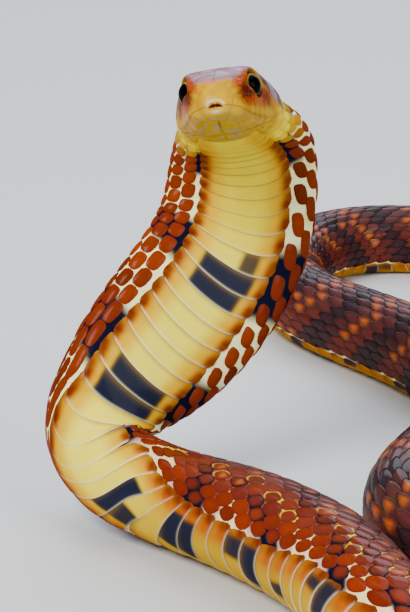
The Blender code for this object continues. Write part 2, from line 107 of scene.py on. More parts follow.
scuteHalf = [
    (0, 5.0), (14, 5.2), (24, 6.4), (32, 7.0), (45, 8.4), (60, 9.0), (130, 10.0), (330, 9.8), (640, 7.8),
    (780, 5.0), (pastTail, 0.6),
]
mouthLine = [
    (0, -0.2), (1, -0.5), (3, -0.9), (8, -1.4), (14, -1.35), (20, -0.5), (24, 0.6), (26, 1.0),
]
jawEnd = 26.0
vent = 700.0
eyePlace = (11.4, 4.45, 3.75)
eyeRadius = 2.45
lidRadii = (2.22, 2.56)
ringRadius = 2.74
nostrilPlace = (3.1, 4.75, 3.1)

# Columns of the surface tables on either side of the middle of the back.
halfColumns = 128


def smoothKeys(s, keys):
    # A curve through the keys that never overshoots them.
    x = np.array([key[0] for key in keys], float)
    v = np.array([key[1] for key in keys], float).reshape(len(keys), -1)
    secant = np.diff(v, axis=0) / np.diff(x)[:, None]
    slope = np.zeros_like(v)
    product = secant[:-1] * secant[1:]
    slope[1:-1] = np.where(product > 0, 2 * product / (secant[:-1] + secant[1:] + 1e-12), 0)
    s = np.asarray(s, float)
    k = np.clip(np.searchsorted(x, s, side="right") - 1, 0, len(x) - 2)
    h = (x[k + 1] - x[k])[..., None]
    u = np.clip((s - x[k])[..., None] / h, 0, 1)
    held = v[k] * (1 + 2 * u) * (1 - u) ** 2 + v[k + 1] * u * u * (3 - 2 * u)
    return held + slope[k] * h * u * (1 - u) ** 2 - slope[k + 1] * h * u * u * (1 - u)


def keyed(s, keys):
    return smoothKeys(s, keys)[..., 0]


def ramp(x, low, high):
    # 0 below low, 1 above high, eased between.
    u = np.clip((np.asarray(x, float) - low) / (high - low), 0, 1)
    return u * u * (3 - 2 * u)


def bump(x, width):
    # 1 where x is 0, falling off over the width on both sides.
    return np.exp(-(x / width) ** 2)


def unit(v):
    return v / np.maximum(np.linalg.norm(v, axis=-1, keepdims=True), 1e-9)


def arcLengths(points):
    return np.concatenate([[0], np.cumsum(np.linalg.norm(np.diff(points, axis=0), axis=1))])


def splineThrough(points, count):
    # The natural cubic spline through the points, read at evenly spaced chord lengths.
    t = arcLengths(points)
    h = np.diff(t)
    size = len(t)
    matrix = np.eye(size)
    right = np.zeros((size, 3))
    i = np.arange(1, size - 1)
    matrix[i, i - 1] = h[:-1]
    matrix[i, i] = 2 * (h[:-1] + h[1:])
    matrix[i, i + 1] = h[1:]
    right[1:-1] = 6 * np.diff(np.diff(points, axis=0) / h[:, None], axis=0)
    bend = np.linalg.solve(matrix, right)
    u = np.linspace(0, t[-1], count)
    k = np.clip(np.searchsorted(t, u, side="right") - 1, 0, size - 2)
    hk = h[k][:, None]
    a = (u - t[k])[:, None]
    r = hk - a
    cubic = (bend[k] * r ** 3 + bend[k + 1] * a ** 3) / (6 * hk)
    cubic += (points[k] / hk - bend[k] * hk / 6) * r
    return cubic + (points[k + 1] / hk - bend[k + 1] * hk / 6) * a


def middleLine():
    # The spline averaged over 3 mm, with its tangent and curvature at each arc length.
    step = 0.15
    softness = 3.0
    headShares = (0, 0.33, 0.67, 1)
    points = np.vstack([[snout + (nape - snout) * share for share in headShares], route])
    points[:, :2] += originShift
    line = splineThrough(points, 6000)
    arc = arcLengths(line)
    even = np.arange(0, arc[-1], step)
    line = np.stack([np.interp(even, arc, line[:, k]) for k in range(3)], -1)
    reach = int(4 * softness / step)
    weight = np.exp(-0.5 * (np.arange(-reach, reach + 1) * step / softness) ** 2)
    weight /= weight.sum()
    padded = np.vstack([2 * line[0] - line[reach:0:-1], line, 2 * line[-1] - line[-2:-reach - 2:-1]])
    line = np.stack([np.convolve(padded[:, k], weight, "valid") for k in range(3)], -1)
    arc = arcLengths(line)
    tangent = unit(np.gradient(line, arc, axis=0))
    return line, arc, tangent, np.gradient(tangent, arc, axis=0)


lineAt, arcAt, tangentAt, curveAt = middleLine()
total = arcAt[-1]
headForward = unit(snout - nape)
levelUp = unit(np.array([0, 0, 1]) - headForward[2] * headForward)
levelLeft = np.cross(levelUp, headForward)
headLeft = math.cos(headRoll) * levelLeft + math.sin(headRoll) * levelUp
headUp = math.cos(headRoll) * levelUp - math.sin(headRoll) * levelLeft
bellyKeys = [(0, tuple(-headUp)), (30, tuple(-headUp))] + bellyKeys


def readLine(table, s):
    return np.stack([np.interp(s, arcAt, table[:, k]) for k in range(3)], -1)


def bellyward(s):
    # The direction of the body at s, and the one to its belly, square to it.
    tangent = unit(readLine(tangentAt, s))
    belly = smoothKeys(s, bellyKeys)
    return tangent, unit(belly - (belly * tangent).sum(-1, keepdims=True) * tangent)


def headPoint(behind, side, height):
    return lineAt[0] - headForward * behind + headLeft * side + headUp * height


def headLocal(points):
    # Distance behind the snout tip, to the animal's left and up, of points on the head.
    d = points - lineAt[0]
    return -(d @ headForward), d @ headLeft, d @ headUp


def swollen(s, side, up):
    # The lips and the brow stand out a little.
    lip = 0.35 * bump(up - keyed(s, mouthLine), 0.9)
    lip = lip * np.clip((jawEnd - s) / 6, 0, 1) * np.clip(s / 2, 0, 1)
    brow = 0.55 * bump(s - eyePlace[0], 4.2) * bump(np.abs(side) - 5.4, 1.5)
    brow = brow * np.clip((up - 4.5) / 2, 0, 1)
    factor = 1 + (lip + brow) / np.maximum(np.hypot(side, up), 0.5)
    return side * factor, up * factor


def outlines(stations):
    # The section at each station by even shares round it, as places to the left of the middle line
    # and up from it, and the length of half the way round.
    shares = np.linspace(0, 1, halfColumns + 1)
    angle = np.linspace(0, math.pi, 241)
    over = np.cos(angle) >= 0
    column = stations[:, None]
    power = 2 / np.where(over, keyed(column, backSquare), keyed(column, bellySquare))
    height = np.where(over, keyed(column, backHeight), -keyed(column, bellyHeight))
    side = keyed(column, halfWidth) * np.abs(np.sin(angle)) ** power
    up = height * np.abs(np.cos(angle)) ** power
    run = np.hypot(np.diff(side, axis=1, prepend=0), np.diff(up, axis=1, prepend=up[:, :1])).cumsum(axis=1)
    sideAt, upAt = (
        np.array([np.interp(shares * along[-1], along, values) for along, values in zip(run, table)])
        for table in (side, up))
    sideAt, upAt = swollen(column, sideAt, upAt + keyed(column, level))
    return np.hstack([-sideAt[:, :0:-1], sideAt]), np.hstack([upAt[:, :0:-1], upAt]), run[:, -1]


def surfaceTables():
    # The surface of the solids as a grid of points and outward normals: stations along the
    # body by even shares round it. The normal leans with the taper, and faces down on the floor.
    stations = np.unique(np.concatenate([
        np.linspace(0, 1, 60) ** 2 * 3, np.arange(3, 34, 0.12), np.arange(34, total, 0.5), [total],
    ]))
    side, up, halfLengths = outlines(stations)
    sideStep = np.gradient(side, axis=1)
    upStep = np.gradient(up, axis=1)
    sideStep[:, 0] = sideStep[:, -1] = side[:, 1] - side[:, -2]
    upStep[:, 0] = upStep[:, -1] = 0
    size = np.hypot(sideStep, upStep) + 1e-9
    outSide = -upStep / size
    outUp = sideStep / size
    taper = outSide * np.gradient(side, stations, axis=0) + outUp * np.gradient(up, stations, axis=0)
    tangent, belly = bellyward(stations)
    left = np.cross(belly, tangent)
    offset = left[:, None] * side[..., None] - belly[:, None] * up[..., None]
    # Inside a sharp bend the surface stops just short of the bend's centre.
    bend = readLine(curveAt, stations)
    strength = np.linalg.norm(bend, axis=-1)
    inward = bend / (strength[:, None] + 1e-9)
    reach = (offset * inward[:, None]).sum(-1)
    beyond = np.maximum(reach - (0.9 / (strength + 1e-9))[:, None], 0)
    points = readLine(lineAt, stations)[:, None] + offset - inward[:, None] * beyond[..., None]
    normals = left[:, None] * outSide[..., None] - belly[:, None] * outUp[..., None]
    normals = unit(normals - tangent[:, None] * np.clip(taper, -4, 4)[..., None])
    below = ramp(-points[..., 2], -0.3, 0.5)[..., None]
    normals = unit(normals * (1 - below) + np.array([0, 0, -1.0]) * below)
    points[..., 2] = np.maximum(points[..., 2], 0)
    return stations, halfLengths, points, normals


stationAt, halfRoundAt, pointAt, normalAt = surfaceTables()
print("surface", pointAt.shape, "length", round(total, 1))


def halfRound(s):
    return np.interp(s, stationAt, halfRoundAt)


def onSurface(s, turn, lift=0.0):
    # Points and normals at s and turn, moved out by lift, by bilinear reading.
    row = np.interp(s, stationAt, np.arange(len(stationAt)))
    r0 = np.clip(row.astype(int), 0, len(stationAt) - 2)
    alongRow = (row - r0)[..., None]
    column = np.mod(np.asarray(turn, float) + 1, 2) * halfColumns
    c0 = np.clip(column.astype(int), 0, 2 * halfColumns - 1)
    alongColumn = (column - c0)[..., None]
    found = []
    for table in (pointAt, normalAt):
        first = table[r0, c0] * (1 - alongColumn) + table[r0, c0 + 1] * alongColumn
        second = table[r0 + 1, c0] * (1 - alongColumn) + table[r0 + 1, c0 + 1] * alongColumn
        found.append(first * (1 - alongRow) + second * alongRow)
    normal = unit(found[1])
    point = found[0] + normal * np.asarray(lift, float)[..., None]
    point[..., 2] = np.maximum(point[..., 2], 0)
    return point, normal


def edgeTurn(s):
    # The share round the body at which the belly scutes end.
    return 1 - keyed(s, scuteHalf) / halfRound(s)


def fromScutes(s, turn):
    # Millimetres round the body from the ends of the scutes up towards the back.
    return np.maximum(edgeTurn(s) - np.abs(turn), 0) * halfRound(s)


def bellyStretch(s):
    # How many times longer a bend makes the belly than the middle line at s.
    belly = bellyward(s)[1]
    return np.clip(1 - (readLine(curveAt, s) * belly).sum(-1) * keyed(s, bellyHeight), 0.8, 2.2)


# Colours.

def linear(colour):
    # A tuple holds screen values from 0 to 255, and an array is linear already.
    if not isinstance(colour, tuple):
        return colour
    c = np.array(colour) / 255
    return np.where(c < 0.04045, c / 12.92, ((c + 0.055) / 1.055) ** 2.4)


def blend(a, b, share):
    # From a to b by the share.
    share = np.clip(np.asarray(share, float), 0, 1)[..., None]
    return linear(a) * (1 - share) + linear(b) * share


def painted(colour, *layers):
    # Layers of colour and share, each laid over the ones before.
    for tint, share in layers:
        colour = blend(colour, tint, share)
    return colour


def wobble(x, y, seed=0.0):
    # A smooth uneven field between about -1 and 1.
    a = np.sin(x * 1.3 + 2.1 * np.sin(y * 0.9 + seed) + seed)
    b = np.sin(y * 1.7 + 1.7 * np.sin(x * 0.7 - seed) + 2 * seed)
    c = np.sin(x * 2.9 - y * 2.3 + 3 * seed)
    return (a + b + 0.6 * c) / 2.6


# Middles of the dark crossbars, as arc lengths at the ends of the scutes, and of the pale ones.
barCentres = np.array([38.5, 64, 88.5, 112, 136, 159.5, 184.5, 199.5] + [219 + 19.5 * k for k in range(35)])
paleCentres = (barCentres[3:-1] + barCentres[4:]) / 2


def pastHood(s):
    # 0 on the hood and 1 where the body's own colours have taken over.
    return ramp(s, 100, 122)


def barPlace(s, turn):
    # The arc length at the scutes of the crossbar that passes through s and turn. Crossbars lean
    # forward on their way up, a little on the hood and steeply on the front coil.
    up = np.minimum(fromScutes(s, turn), 10.5)
    steep = (up + 0.17 * up ** 2) * ramp(s + 1.5 * up, 146, 154)
    behind = ramp(s, 196, 214)
    onHood = 1 - ramp(s, 104, 124)
    return s + 0.35 * up * onHood + steep * (1 - behind) + up * behind


def nearShare(place, centres, width):
    # 1 within about the width of the nearest centre, eased to 0 past it.
    gap = np.abs(np.asarray(place)[..., None] - centres).min(-1)
    return 1 - ramp(gap, width * 0.75, width * 1.2)


def bodySkinTint(s, turn):
    # Stretched skin between the scales: cream on the hood's sides with navy-black bars, then brick
    # red with black lines, a painted mauve sheen on top, a painted lilac-white sheen along the scutes,
    # and pale bands that are white at the scutes and yellow above them.
    side = np.abs(turn)
    up = fromScutes(s, turn)
    place = barPlace(s, turn)
    navy = (13, 16, 38)
    cream = blend((252, 248, 186), (240, 218, 130), ramp(wobble(s * 0.5, turn * 9), 0.1, 0.9))
    firstBar = np.where(s < 50, 1 - ramp(up, 2.4, 3.2), 1.0) * ramp(side, 0.28, 0.42)
    hood = painted(
        (84, 58, 48),
        (cream, ramp(side, 0.30, 0.44)),
        (navy, nearShare(place, barCentres, 5.8) * firstBar))
    broad = nearShare(place, paleCentres, 4.6) * (1 - ramp(up, 3.4, 4.8))
    narrow = nearShare(place, paleCentres, 2.6) * ramp(up, 3.4, 4.8) * (1 - ramp(up, 8.5, 10))
    line = nearShare(place, barCentres, 1.0 + 2.3 * (1 - ramp(up, 4, 6)))
    rear = painted(
        (132, 66, 50),
        # Painted mauve sheen on top.
        ((112, 76, 74), ramp(up, 6, 12)),
        ((66, 40, 40), ramp(s, 196, 230)),
        # A painted lilac-white sheen along the scutes.
        ((206, 170, 156), (1 - ramp(up, 0.6, 1.6)) * (1 - ramp(s, 200, 300) * 0.5)),
        ((246, 226, 160), broad * 0.95),
        ((242, 196, 20), narrow * 0.9),
        (navy, line * (1 - ramp(up, 10, 14))))
    return blend(hood, rear, pastHood(s))


# Meshes.

def unrolled(s, turn):
    # The UV place of a point of the body.
    return np.stack([s / pastTail, (turn + 1) / 2], -1)


def gridQuads(rows, columns, closed):
    # Quads over rows of points, facing out for growing s and turn. A closed grid joins its last
    # column to its first.
    k = np.arange(columns if closed else columns - 1)
    after = (k + 1) % columns
    row = np.arange(rows - 1)[:, None] * columns
    return np.stack([row + k, row + columns + k, row + columns + after, row + after], -1).reshape(-1, 4)


def copied(faces, count, size):
    # The same faces again for each of count runs of size points.
    return (faces + (np.arange(count) * size)[:, None, None]).reshape(-1, faces.shape[-1])


def meshFrom(name, points, quads, tris, tint, uv, material):
    # A mesh object from faces and the points, colours and UV places that they count.
    points, tint, uv = points.reshape(-1, 3), tint.reshape(-1, 3), uv.reshape(-1, 2)
    mesh = bpy.data.meshes.new(name)
    corners = np.concatenate([np.ravel(quads), np.ravel(tris)]).astype(np.int32)
    starts = np.concatenate([np.arange(len(quads)) * 4, len(quads) * 4 + np.arange(len(tris)) * 3])
    mesh.vertices.add(len(points))
    mesh.vertices.foreach_set("co", (points * mm).astype(np.float32).ravel())
    mesh.loops.add(len(corners))
    mesh.loops.foreach_set("vertex_index", corners)
    mesh.polygons.add(len(starts))
    mesh.polygons.foreach_set("loop_start", starts.astype(np.int32))
    mesh.polygons.foreach_set("use_smooth", np.full(len(starts), True))
    mesh.update(calc_edges=True)
    mesh.validate()
    layer = mesh.uv_layers.new(name="OFBake")
    layer.data.foreach_set("uv", uv.astype(np.float32)[corners].ravel())
    attribute = mesh.color_attributes.new(name="tint", type="FLOAT_COLOR", domain="POINT")
    colour = np.ones((len(points), 4), np.float32)
    colour[:, :3] = np.clip(tint, 0, 1)
    attribute.data.foreach_set("color", colour.ravel())
    mesh.materials.append(material)
    piece = bpy.data.objects.new(name, mesh)
    bpy.context.scene.collection.objects.link(piece)
    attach(piece, "root")
    print(name, len(quads) * 2 + len(tris), "triangles")
    return piece


def tubeFrom(name, points, tint, uv, poles, material):
    # A tube of rows of points that closes round its columns. A pole is the point, colour and UV
    # place of the tip beyond the first row, or beyond the last.
    rows, columns = points.shape[:2]
    count = rows * columns
    k = np.arange(columns)
    after = (k + 1) % columns
    caps = [
        np.stack([np.full(columns, count), k, after], -1),
        np.stack([np.full(columns, count + 1), count - columns + after, count - columns + k], -1),
    ]
    flat = [
        np.vstack([values.reshape(count, -1)] + [pole[part] for pole in poles])
        for part, values in enumerate((points, tint, uv))]
    tris = np.vstack(caps[:len(poles)])
    return meshFrom(name, flat[0], gridQuads(rows, columns, True), tris, flat[1], flat[2], material)


# Materials.

def feed(tree, made, inputs):
    # Give a node its inputs, by value or from another node's output.
    for key, value in inputs.items():
        if isinstance(value, bpy.types.NodeSocket):
            tree.links.new(value, made.inputs[key])
        else:
            made.inputs[key].default_value = value


def node(tree, kind, inputs, **settings):
    made = tree.nodes.new(kind)
    for key, value in settings.items():
        setattr(made, key, value)
    feed(tree, made, inputs)
    return made


def maths(tree, operation, a, b, clamp=False):
    return node(tree, "ShaderNodeMath", {0: a, 1: b}, operation=operation, use_clamp=clamp).outputs[0]


def noise(tree, scale, **settings):
    # Noise in the piece's own space, so that it doesn't depend on UVs.
    place = tree.nodes.get("Texture Coordinate") or node(tree, "ShaderNodeTexCoord", {})
    inputs = {"Vector": place.outputs["Object"], "Scale": scale, **settings}
    return node(tree, "ShaderNodeTexNoise", inputs).outputs["Fac"]


def brightened(tree, colour, bright):
    # The colour times the brightness.
    grey = node(tree, "ShaderNodeCombineColor", {"Red": bright, "Green": bright, "Blue": bright}).outputs[0]
    factor, first, second, result = 0, 6, 7, 2
    inputs = {factor: 1.0, first: colour, second: grey}
    return node(tree, "ShaderNodeMix", inputs, data_type="RGBA", blend_type="MULTIPLY").outputs[result]


def newMaterial(name):
    material = bpy.data.materials.new(name)
    material.use_nodes = True
    return material, material.node_tree, material.node_tree.nodes["Principled BSDF"]


def grainGroup():
    # Mottled colour, uneven roughness and fine relief for skin and scales, in object space.
    group = bpy.data.node_groups.new("hornGrain", "ShaderNodeTree")
    for name, way, kind in (
            ("Colour", "INPUT", "Color"), ("Mottle", "INPUT", "Float"), ("Gloss", "INPUT", "Float"),
            ("Fine size", "INPUT", "Float"), ("Colour", "OUTPUT", "Color"), ("Roughness", "OUTPUT", "Float"),
            ("Height", "OUTPUT", "Float")):
        group.interface.new_socket(name, in_out=way, socket_type="NodeSocket" + kind)
    given = node(group, "NodeGroupInput", {}).outputs
    fine = noise(group, given["Fine size"], Detail=4.0, Roughness=0.6)
    uneven = maths(group, "SUBTRACT", noise(group, 260.0, Detail=3.0), 0.5)
    speck = maths(group, "SUBTRACT", fine, 0.5)
    shade = maths(group, "ADD", maths(group, "MULTIPLY", uneven, 1.1), maths(group, "MULTIPLY", speck, 0.9))
    shade = maths(group, "MULTIPLY", shade, given["Mottle"])
    rough = maths(group, "ADD", given["Gloss"], maths(group, "MULTIPLY", uneven, 0.35))
    rough = maths(group, "ADD", rough, maths(group, "MULTIPLY", speck, 0.22), clamp=True)
    node(group, "NodeGroupOutput", {
        "Colour": brightened(group, given["Colour"], maths(group, "ADD", shade, 1.0)),
        "Roughness": rough, "Height": fine})
    return group


grain = grainGroup()


def hornMaterial(name, look):
    # Painted tint through the grain group, with a bump and a constant clear coat.
    material, tree, shader = newMaterial(name)
    tint = node(tree, "ShaderNodeAttribute", {}, attribute_name="tint").outputs["Color"]
    given = {"Colour": tint, "Mottle": look["mottle"], "Gloss": look["gloss"], "Fine size": look["fine"]}
    grained = node(tree, "ShaderNodeGroup", given, node_tree=grain)
    relief = {"Height": grained.outputs["Height"], "Strength": look["relief"], "Distance": 0.0002}
    feed(tree, shader, {
        "Base Color": grained.outputs["Colour"], "Roughness": grained.outputs["Roughness"],
        "Normal": node(tree, "ShaderNodeBump", relief).outputs["Normal"], "Specular IOR Level": 0.0,
        "Coat Weight": look["coat"], "Coat Roughness": 0.16, "Subsurface Weight": look["soft"],
        "Subsurface Radius": (0.0012, 0.0007, 0.0004), "Subsurface Scale": 0.4})
    return material


headHorn = hornMaterial("headHorn", {
    "mottle": 0.2, "gloss": 0.30, "fine": 2600.0, "relief": 0.12, "coat": 0.14, "soft": 0.02})
stretchedSkin = hornMaterial("stretchedSkin", {
    "mottle": 0.3, "gloss": 0.5, "fine": 2200.0, "relief": 0.4, "coat": 0.02, "soft": 0.03})
hoodHorn = hornMaterial("hoodHorn", {
    "mottle": 0.42, "gloss": 0.38, "fine": 2000.0, "relief": 0.35, "coat": 0.10, "soft": 0.0})
backHorn = hornMaterial("backHorn", {
    "mottle": 0.45, "gloss": 0.36, "fine": 1800.0, "relief": 0.4, "coat": 0.22, "soft": 0.0})
scuteHorn = hornMaterial("scuteHorn", {
    "mottle": 0.14, "gloss": 0.34, "fine": 900.0, "relief": 0.12, "coat": 0.08, "soft": 0.03})


# Camera, light, floor.

# The photo's height and the length of the lens in pixels, then the camera's place and the floor's
# reach to each side in metres.
pictureHeight = 612
lensPixels = 2080
cameraAway = 0.36
cameraHeight = 0.14
cameraTilt = math.radians(74)
floorReach = 4

camera = bpy.data.objects.new("camera", bpy.data.cameras.new("camera"))
bpy.context.scene.collection.objects.link(camera)
camera.location = (originShift[0] * mm, -cameraAway + originShift[1] * mm, cameraHeight)
camera.rotation_euler = (cameraTilt, 0, 0)
camera.data.sensor_fit = "VERTICAL"
camera.data.sensor_height = 36
camera.data.lens = lensPixels / pictureHeight * camera.data.sensor_height
camera.data.clip_start = 0.01
bpy.context.scene.camera = camera


def areaLight(name, place, target, size, power, colour):
    light = bpy.data.lights.new(name, "AREA")
    light.shape = "RECTANGLE"
    light.size, light.size_y = size
    light.energy = power
    light.color = colour
    lamp = bpy.data.objects.new(name, light)
    bpy.context.scene.collection.objects.link(lamp)
    lamp.location = place
    lamp.rotation_euler = (Vector(target) - lamp.location).to_track_quat("-Z", "Y").to_euler()


head = tuple(lineAt[0] * mm)
areaLight("key", (-0.55, -0.75, 0.85), head, (0.5, 0.5), 18.0, (1.0, 0.98, 0.95))
areaLight("fill", (0.75, -0.7, 0.55), head, (0.7, 0.7), 8.0, (0.97, 0.98, 1.0))
areaLight("sky", (0.0, 0.35, 1.1), (0, 0, 0), (1.2, 1.2), 10.0, (0.93, 0.96, 1.0))
areaLight("rim", (0.1, 1.5, 0.75), (0, 0, 0.03), (1.4, 0.7), 14.0, (0.8, 0.87, 1.0))
world = bpy.data.worlds.new("studio")
world.use_nodes = True
feed(world.node_tree, world.node_tree.nodes["Background"], {"Color": (0.86, 0.92, 1.0, 1), "Strength": 0.35})
bpy.context.scene.world = world

floorMesh = bpy.data.meshes.new("floor")
floorCorners = [(floorReach * x, floorReach * y, 0) for x, y in ((-1, -1), (1, -1), (1, 1), (-1, 1))]
floorMesh.from_pydata(floorCorners, [], [(0, 1, 2, 3)])
floor = bpy.data.objects.new("floor", floorMesh)
bpy.context.scene.collection.objects.link(floor)
paleFloor, floorTree, floorShader = newMaterial("paleFloor")
feed(floorTree, floorShader, {"Base Color": (0.62, 0.63, 0.64, 1), "Roughness": 0.7})
floorMesh.materials.append(paleFloor)
print("camera, light and floor")


# The head.

def mouthTurn(s):
    # The share round the head at which the mouth line meets the cheek.
    shares = np.linspace(0.3, 0.98, 200)
    points, _ = onSurface(np.full(len(shares), s), shares)
    return np.interp(-keyed(min(s, jawEnd), mouthLine), -headLocal(points)[2], shares)


# Shields of one side by name, with the roots of their cells as arc length and turn. One with a root
# at turn 0 or 1 lies across the middle.
shields = {
    "rostral": [(0.1, 0.0), (0.55, 0.0), (0.45, 0.22), (0.4, 0.40)],
    "internasal": [(2.6, 0.12)],
    "prefrontal": [(5.6, 0.10), (5.9, 0.21)],
    "frontal": [(8.6, 0.0), (10.4, 0.0), (12.2, 0.0), (9.4, 0.075)],
    "supraocular": [(8.9, 0.235), (10.6, 0.215), (12.6, 0.225), (13.9, 0.225)],
    "parietal": [(15.6, 0.09), (17.4, 0.12), (19.4, 0.13), (21.0, 0.09)],
    "nasalFront": [(1.7, 0.33)],
    "nasalRear": [(4.3, 0.34)],
    "loreal": [(6.4, 0.36)],
    "preocular": [(8.1, 0.33)],
    "postocularUp": [(14.7, 0.31)],
    "postocularLow": [(14.9, 0.39)],
    "temporalUp": [(17.6, 0.27), (18.6, 0.28)],
    "temporalLow": [(17.6, 0.37), (18.8, 0.37)],
    "temporalRear": [(21.0, 0.25)],
    "temporalRearLow": [(21.4, 0.34)],
    "temporalLast": [(22.6, 0.44)],
    "mental": [(0.35, 0.80), (0.6, 1.0)],
    "chinFront": [(3.8, 0.93), (5.8, 0.91)],
    "chinRear": [(8.4, 0.93), (10.6, 0.90)],
}
# Lip shields, as arc length and distance from the mouth line.
upperLabials = [
    (1.6, 0.9), (3.7, 0.95), (6.1, 1.0), (8.7, 0.95), (11.6, 0.85), (14.6, 0.95), (17.8, 1.2), (21.4, 1.3),
]
lowerLabials = [
    (1.9, 1.0), (3.8, 1.05), (5.9, 1.1), (8.2, 1.15), (10.7, 1.2), (13.4, 1.2), (16.3, 1.2), (19.4, 1.2),
    (22.6, 1.1),
]


def shieldRoots():
    # All roots of both sides as points, the number of each one's shield, and the shields' names.
    roots, owner, names = [], [], []

    def add(name, places):
        names.append(name)
        for s, turn in places:
            roots.append(onSurface(np.array([s]), np.array([turn]))[0][0])
            owner.append(len(names) - 1)

    for name, places in shields.items():
        acrossMiddle = any(t in (0.0, 1.0) for _, t in places)
        for signs in ([(1, -1)] if acrossMiddle else [(1,), (-1,)]):
            add(name, [(s, t * sign) for s, t in places for sign in signs])
    for name, row, away in (("upperLabial", upperLabials, -1), ("lowerLabial", lowerLabials, 1)):
        for s, height in row:
            for sign in (1, -1):
                add(name, [(s, (mouthTurn(s) + away * height / halfRound(s)) * sign)])
    # Small throat scales in rows between the lower lip shields and the middle.
    throatFront, throatRear, rowLength, fromLip = 12.6, 25, 1.9, 2.3
    for s in np.arange(throatFront, throatRear, rowLength):
        start = mouthTurn(s) + fromLip / halfRound(s)
        for k, share in enumerate(np.arange(0.12, 1.0, 0.17)):
            turn = start + (1 - start) * share
            if turn <= 0.97 and (turn <= edgeTurn(s) + 0.02 or s <= 15):
                for sign in (1, -1):
                    add("gular", [(s + rowLength / 2 * (k % 2), turn * sign)])
    return np.array(roots), np.array(owner), np.array(names)


def shieldCells(points):
    # The name of the shield that holds each point and the distance to that shield's nearest edge.
    roots, owner, names = shieldRoots()
    square = ((points[:, None] - roots[None]) ** 2).sum(-1)
    nearest = square.argmin(1)
    own = owner[nearest]
    ownSquare = square[np.arange(len(points)), nearest]
    farthest = 9.0
    distance = np.full(len(points), farthest)
    for k in range(len(roots)):
        apart = np.linalg.norm(roots[k] - roots[nearest], axis=1)
        toEdge = (square[:, k] - ownSquare) / (2 * np.maximum(apart, 1e-6))
        distance = np.where(owner[k] != own, np.minimum(distance, toEdge), distance)
    return names[own], distance


def headRows(count):
    # Stations at even distances along the cheek, so that the blunt snout gets its share.
    dense = np.linspace(0, 1, 900) ** 2 * 36
    run = arcLengths(onSurface(dense, np.full(len(dense), 0.42))[0])
    return np.interp(np.linspace(0.05, run[-1], count), run, dense)


# The grid of the head's skin: each point's arc length and turn, how far it is behind the snout tip,
# to the left, up and over the mouth line, its shield, and the distance to that shield's edge.
headS, headTurn = np.meshgrid(headRows(236), np.linspace(-1, 1, 320, endpoint=False), indexing="ij")
headSide = np.abs(headTurn)
bareHead, headNormal = onSurface(headS, headTurn)
behindTip, toLeft, upFromTip = headLocal(bareHead)
overMouth = upFromTip - keyed(np.minimum(headS, jawEnd), mouthLine)
shieldName, toShieldEdge = (found.reshape(headS.shape) for found in shieldCells(bareHead.reshape(-1, 3)))

# Where the coat of scales and scutes begins, by the share round the body.
coatFront = (
    [0, 0.25, 0.36, 0.45, 0.52, 0.62, 0.72, 0.78, 1],
    [22.4, 22.8, 23.4, 24.3, 26.6, 26.2, 25.0, 14.9, 14.9],
)


def softSpot(s, side, centre, size, power=2):
    # 1 at the centre, falling off over the size, where both are an arc length and a turn.
    return np.exp(-np.abs((s - centre[0]) / size[0]) ** power - np.abs((side - centre[1]) / size[1]) ** power)


def eyeAxis(sign):
    # Where an eye looks: outwards and up from straight ahead.
    turned = math.radians(57)
    raised = math.radians(8)
    flat = headForward * math.cos(turned) + headLeft * sign * math.sin(turned)
    return flat * math.cos(raised) + headUp * math.sin(raised)


def headFeatures():
    # How strongly each feature shows at each point of the head, from 0 to 1.
    shown = SimpleNamespace()
    shown.rear = 1 - ramp(headS, 23.0, 25.5)
    shown.groove = bump(toShieldEdge, 0.12)
    shown.jaw = 1 - ramp(headS, jawEnd - 1.2, jawEnd + 0.2)
    sideways = shown.jaw * ramp(headSide, 0.2, 0.35)
    shown.mouth = bump(overMouth, 0.13) * sideways
    shown.overlap = bump(overMouth + 0.45, 0.4) * sideways
    # The notch of the rostral shield, over the lower lip, and its rim.
    shown.tip = np.exp(-(behindTip / 1.4) ** 4)
    arch = np.clip(1 - (toLeft / 1.15) ** 2, 0, 1) ** 0.6 * 0.62
    notch = ramp(arch - (overMouth + 0.12), 0.0, 0.16) * ramp(overMouth, -0.34, -0.16)
    shown.notch = notch * shown.tip * (np.abs(toLeft) < 1.2)
    rim = bump(np.hypot(toLeft / 1.35, (overMouth - 0.1) / 0.85) - 1, 0.22)
    shown.notchRim = rim * shown.tip * ramp(overMouth, 0.0, 0.25)
    # The groove of the chin and the soft folds of the throat.
    middle = np.abs(1 - headSide) * halfRound(headS)
    shown.mental = bump(middle, 0.16) * ramp(headS, 1.2, 2.2) * (1 - ramp(headS, 8, 9.5))
    foldAt = np.interp(headSide, [0.62, 0.70, 0.80, 0.90, 1.0], [21.0, 15.5, 12.4, 11.2, 10.0])
    shown.fold = bump(headS - foldAt, 0.6) * ramp(headSide, 0.6, 0.7)
    shown.coat = ramp(headS - np.interp(headSide, *coatFront), -0.3, 0.7)
    return shown


def headLift(shown, fromNostril):
    # How far each point is moved out. Shields are a little crowned, and nostrils have a raised rim.
    deep = np.where(shieldName == "gular", 0.16, 0.09)
    lift = -0.02 - (deep * shown.groove + 0.04 * np.exp(-toShieldEdge / 0.35)) * shown.rear
    lift = lift - (0.06 + 0.08 * ramp(headS, 2, 6)) * shown.mouth - 0.12 * shown.overlap
    lift = lift - 0.55 * shown.notch + 0.05 * shown.notchRim
    lift = lift - 0.5 * (1 - ramp(fromNostril, 0.3, 0.6)) + 0.09 * bump(fromNostril - 0.8, 0.2)
    lift = lift - 0.16 * shown.mental - 0.42 * shown.fold
    # A hollow between snout and eye, then the coat's bed behind the head.
    lift = lift - 0.75 * softSpot(headS, headSide, (7.5, 0.365), (1.9, 0.06))
    return lift * (1 - shown.coat) - 0.36 * shown.coat


def pairedPoint(place, sign):
    # A place on the head on its left for sign 1, or its right for -1.
    return headPoint(place[0], sign * place[1], place[2])


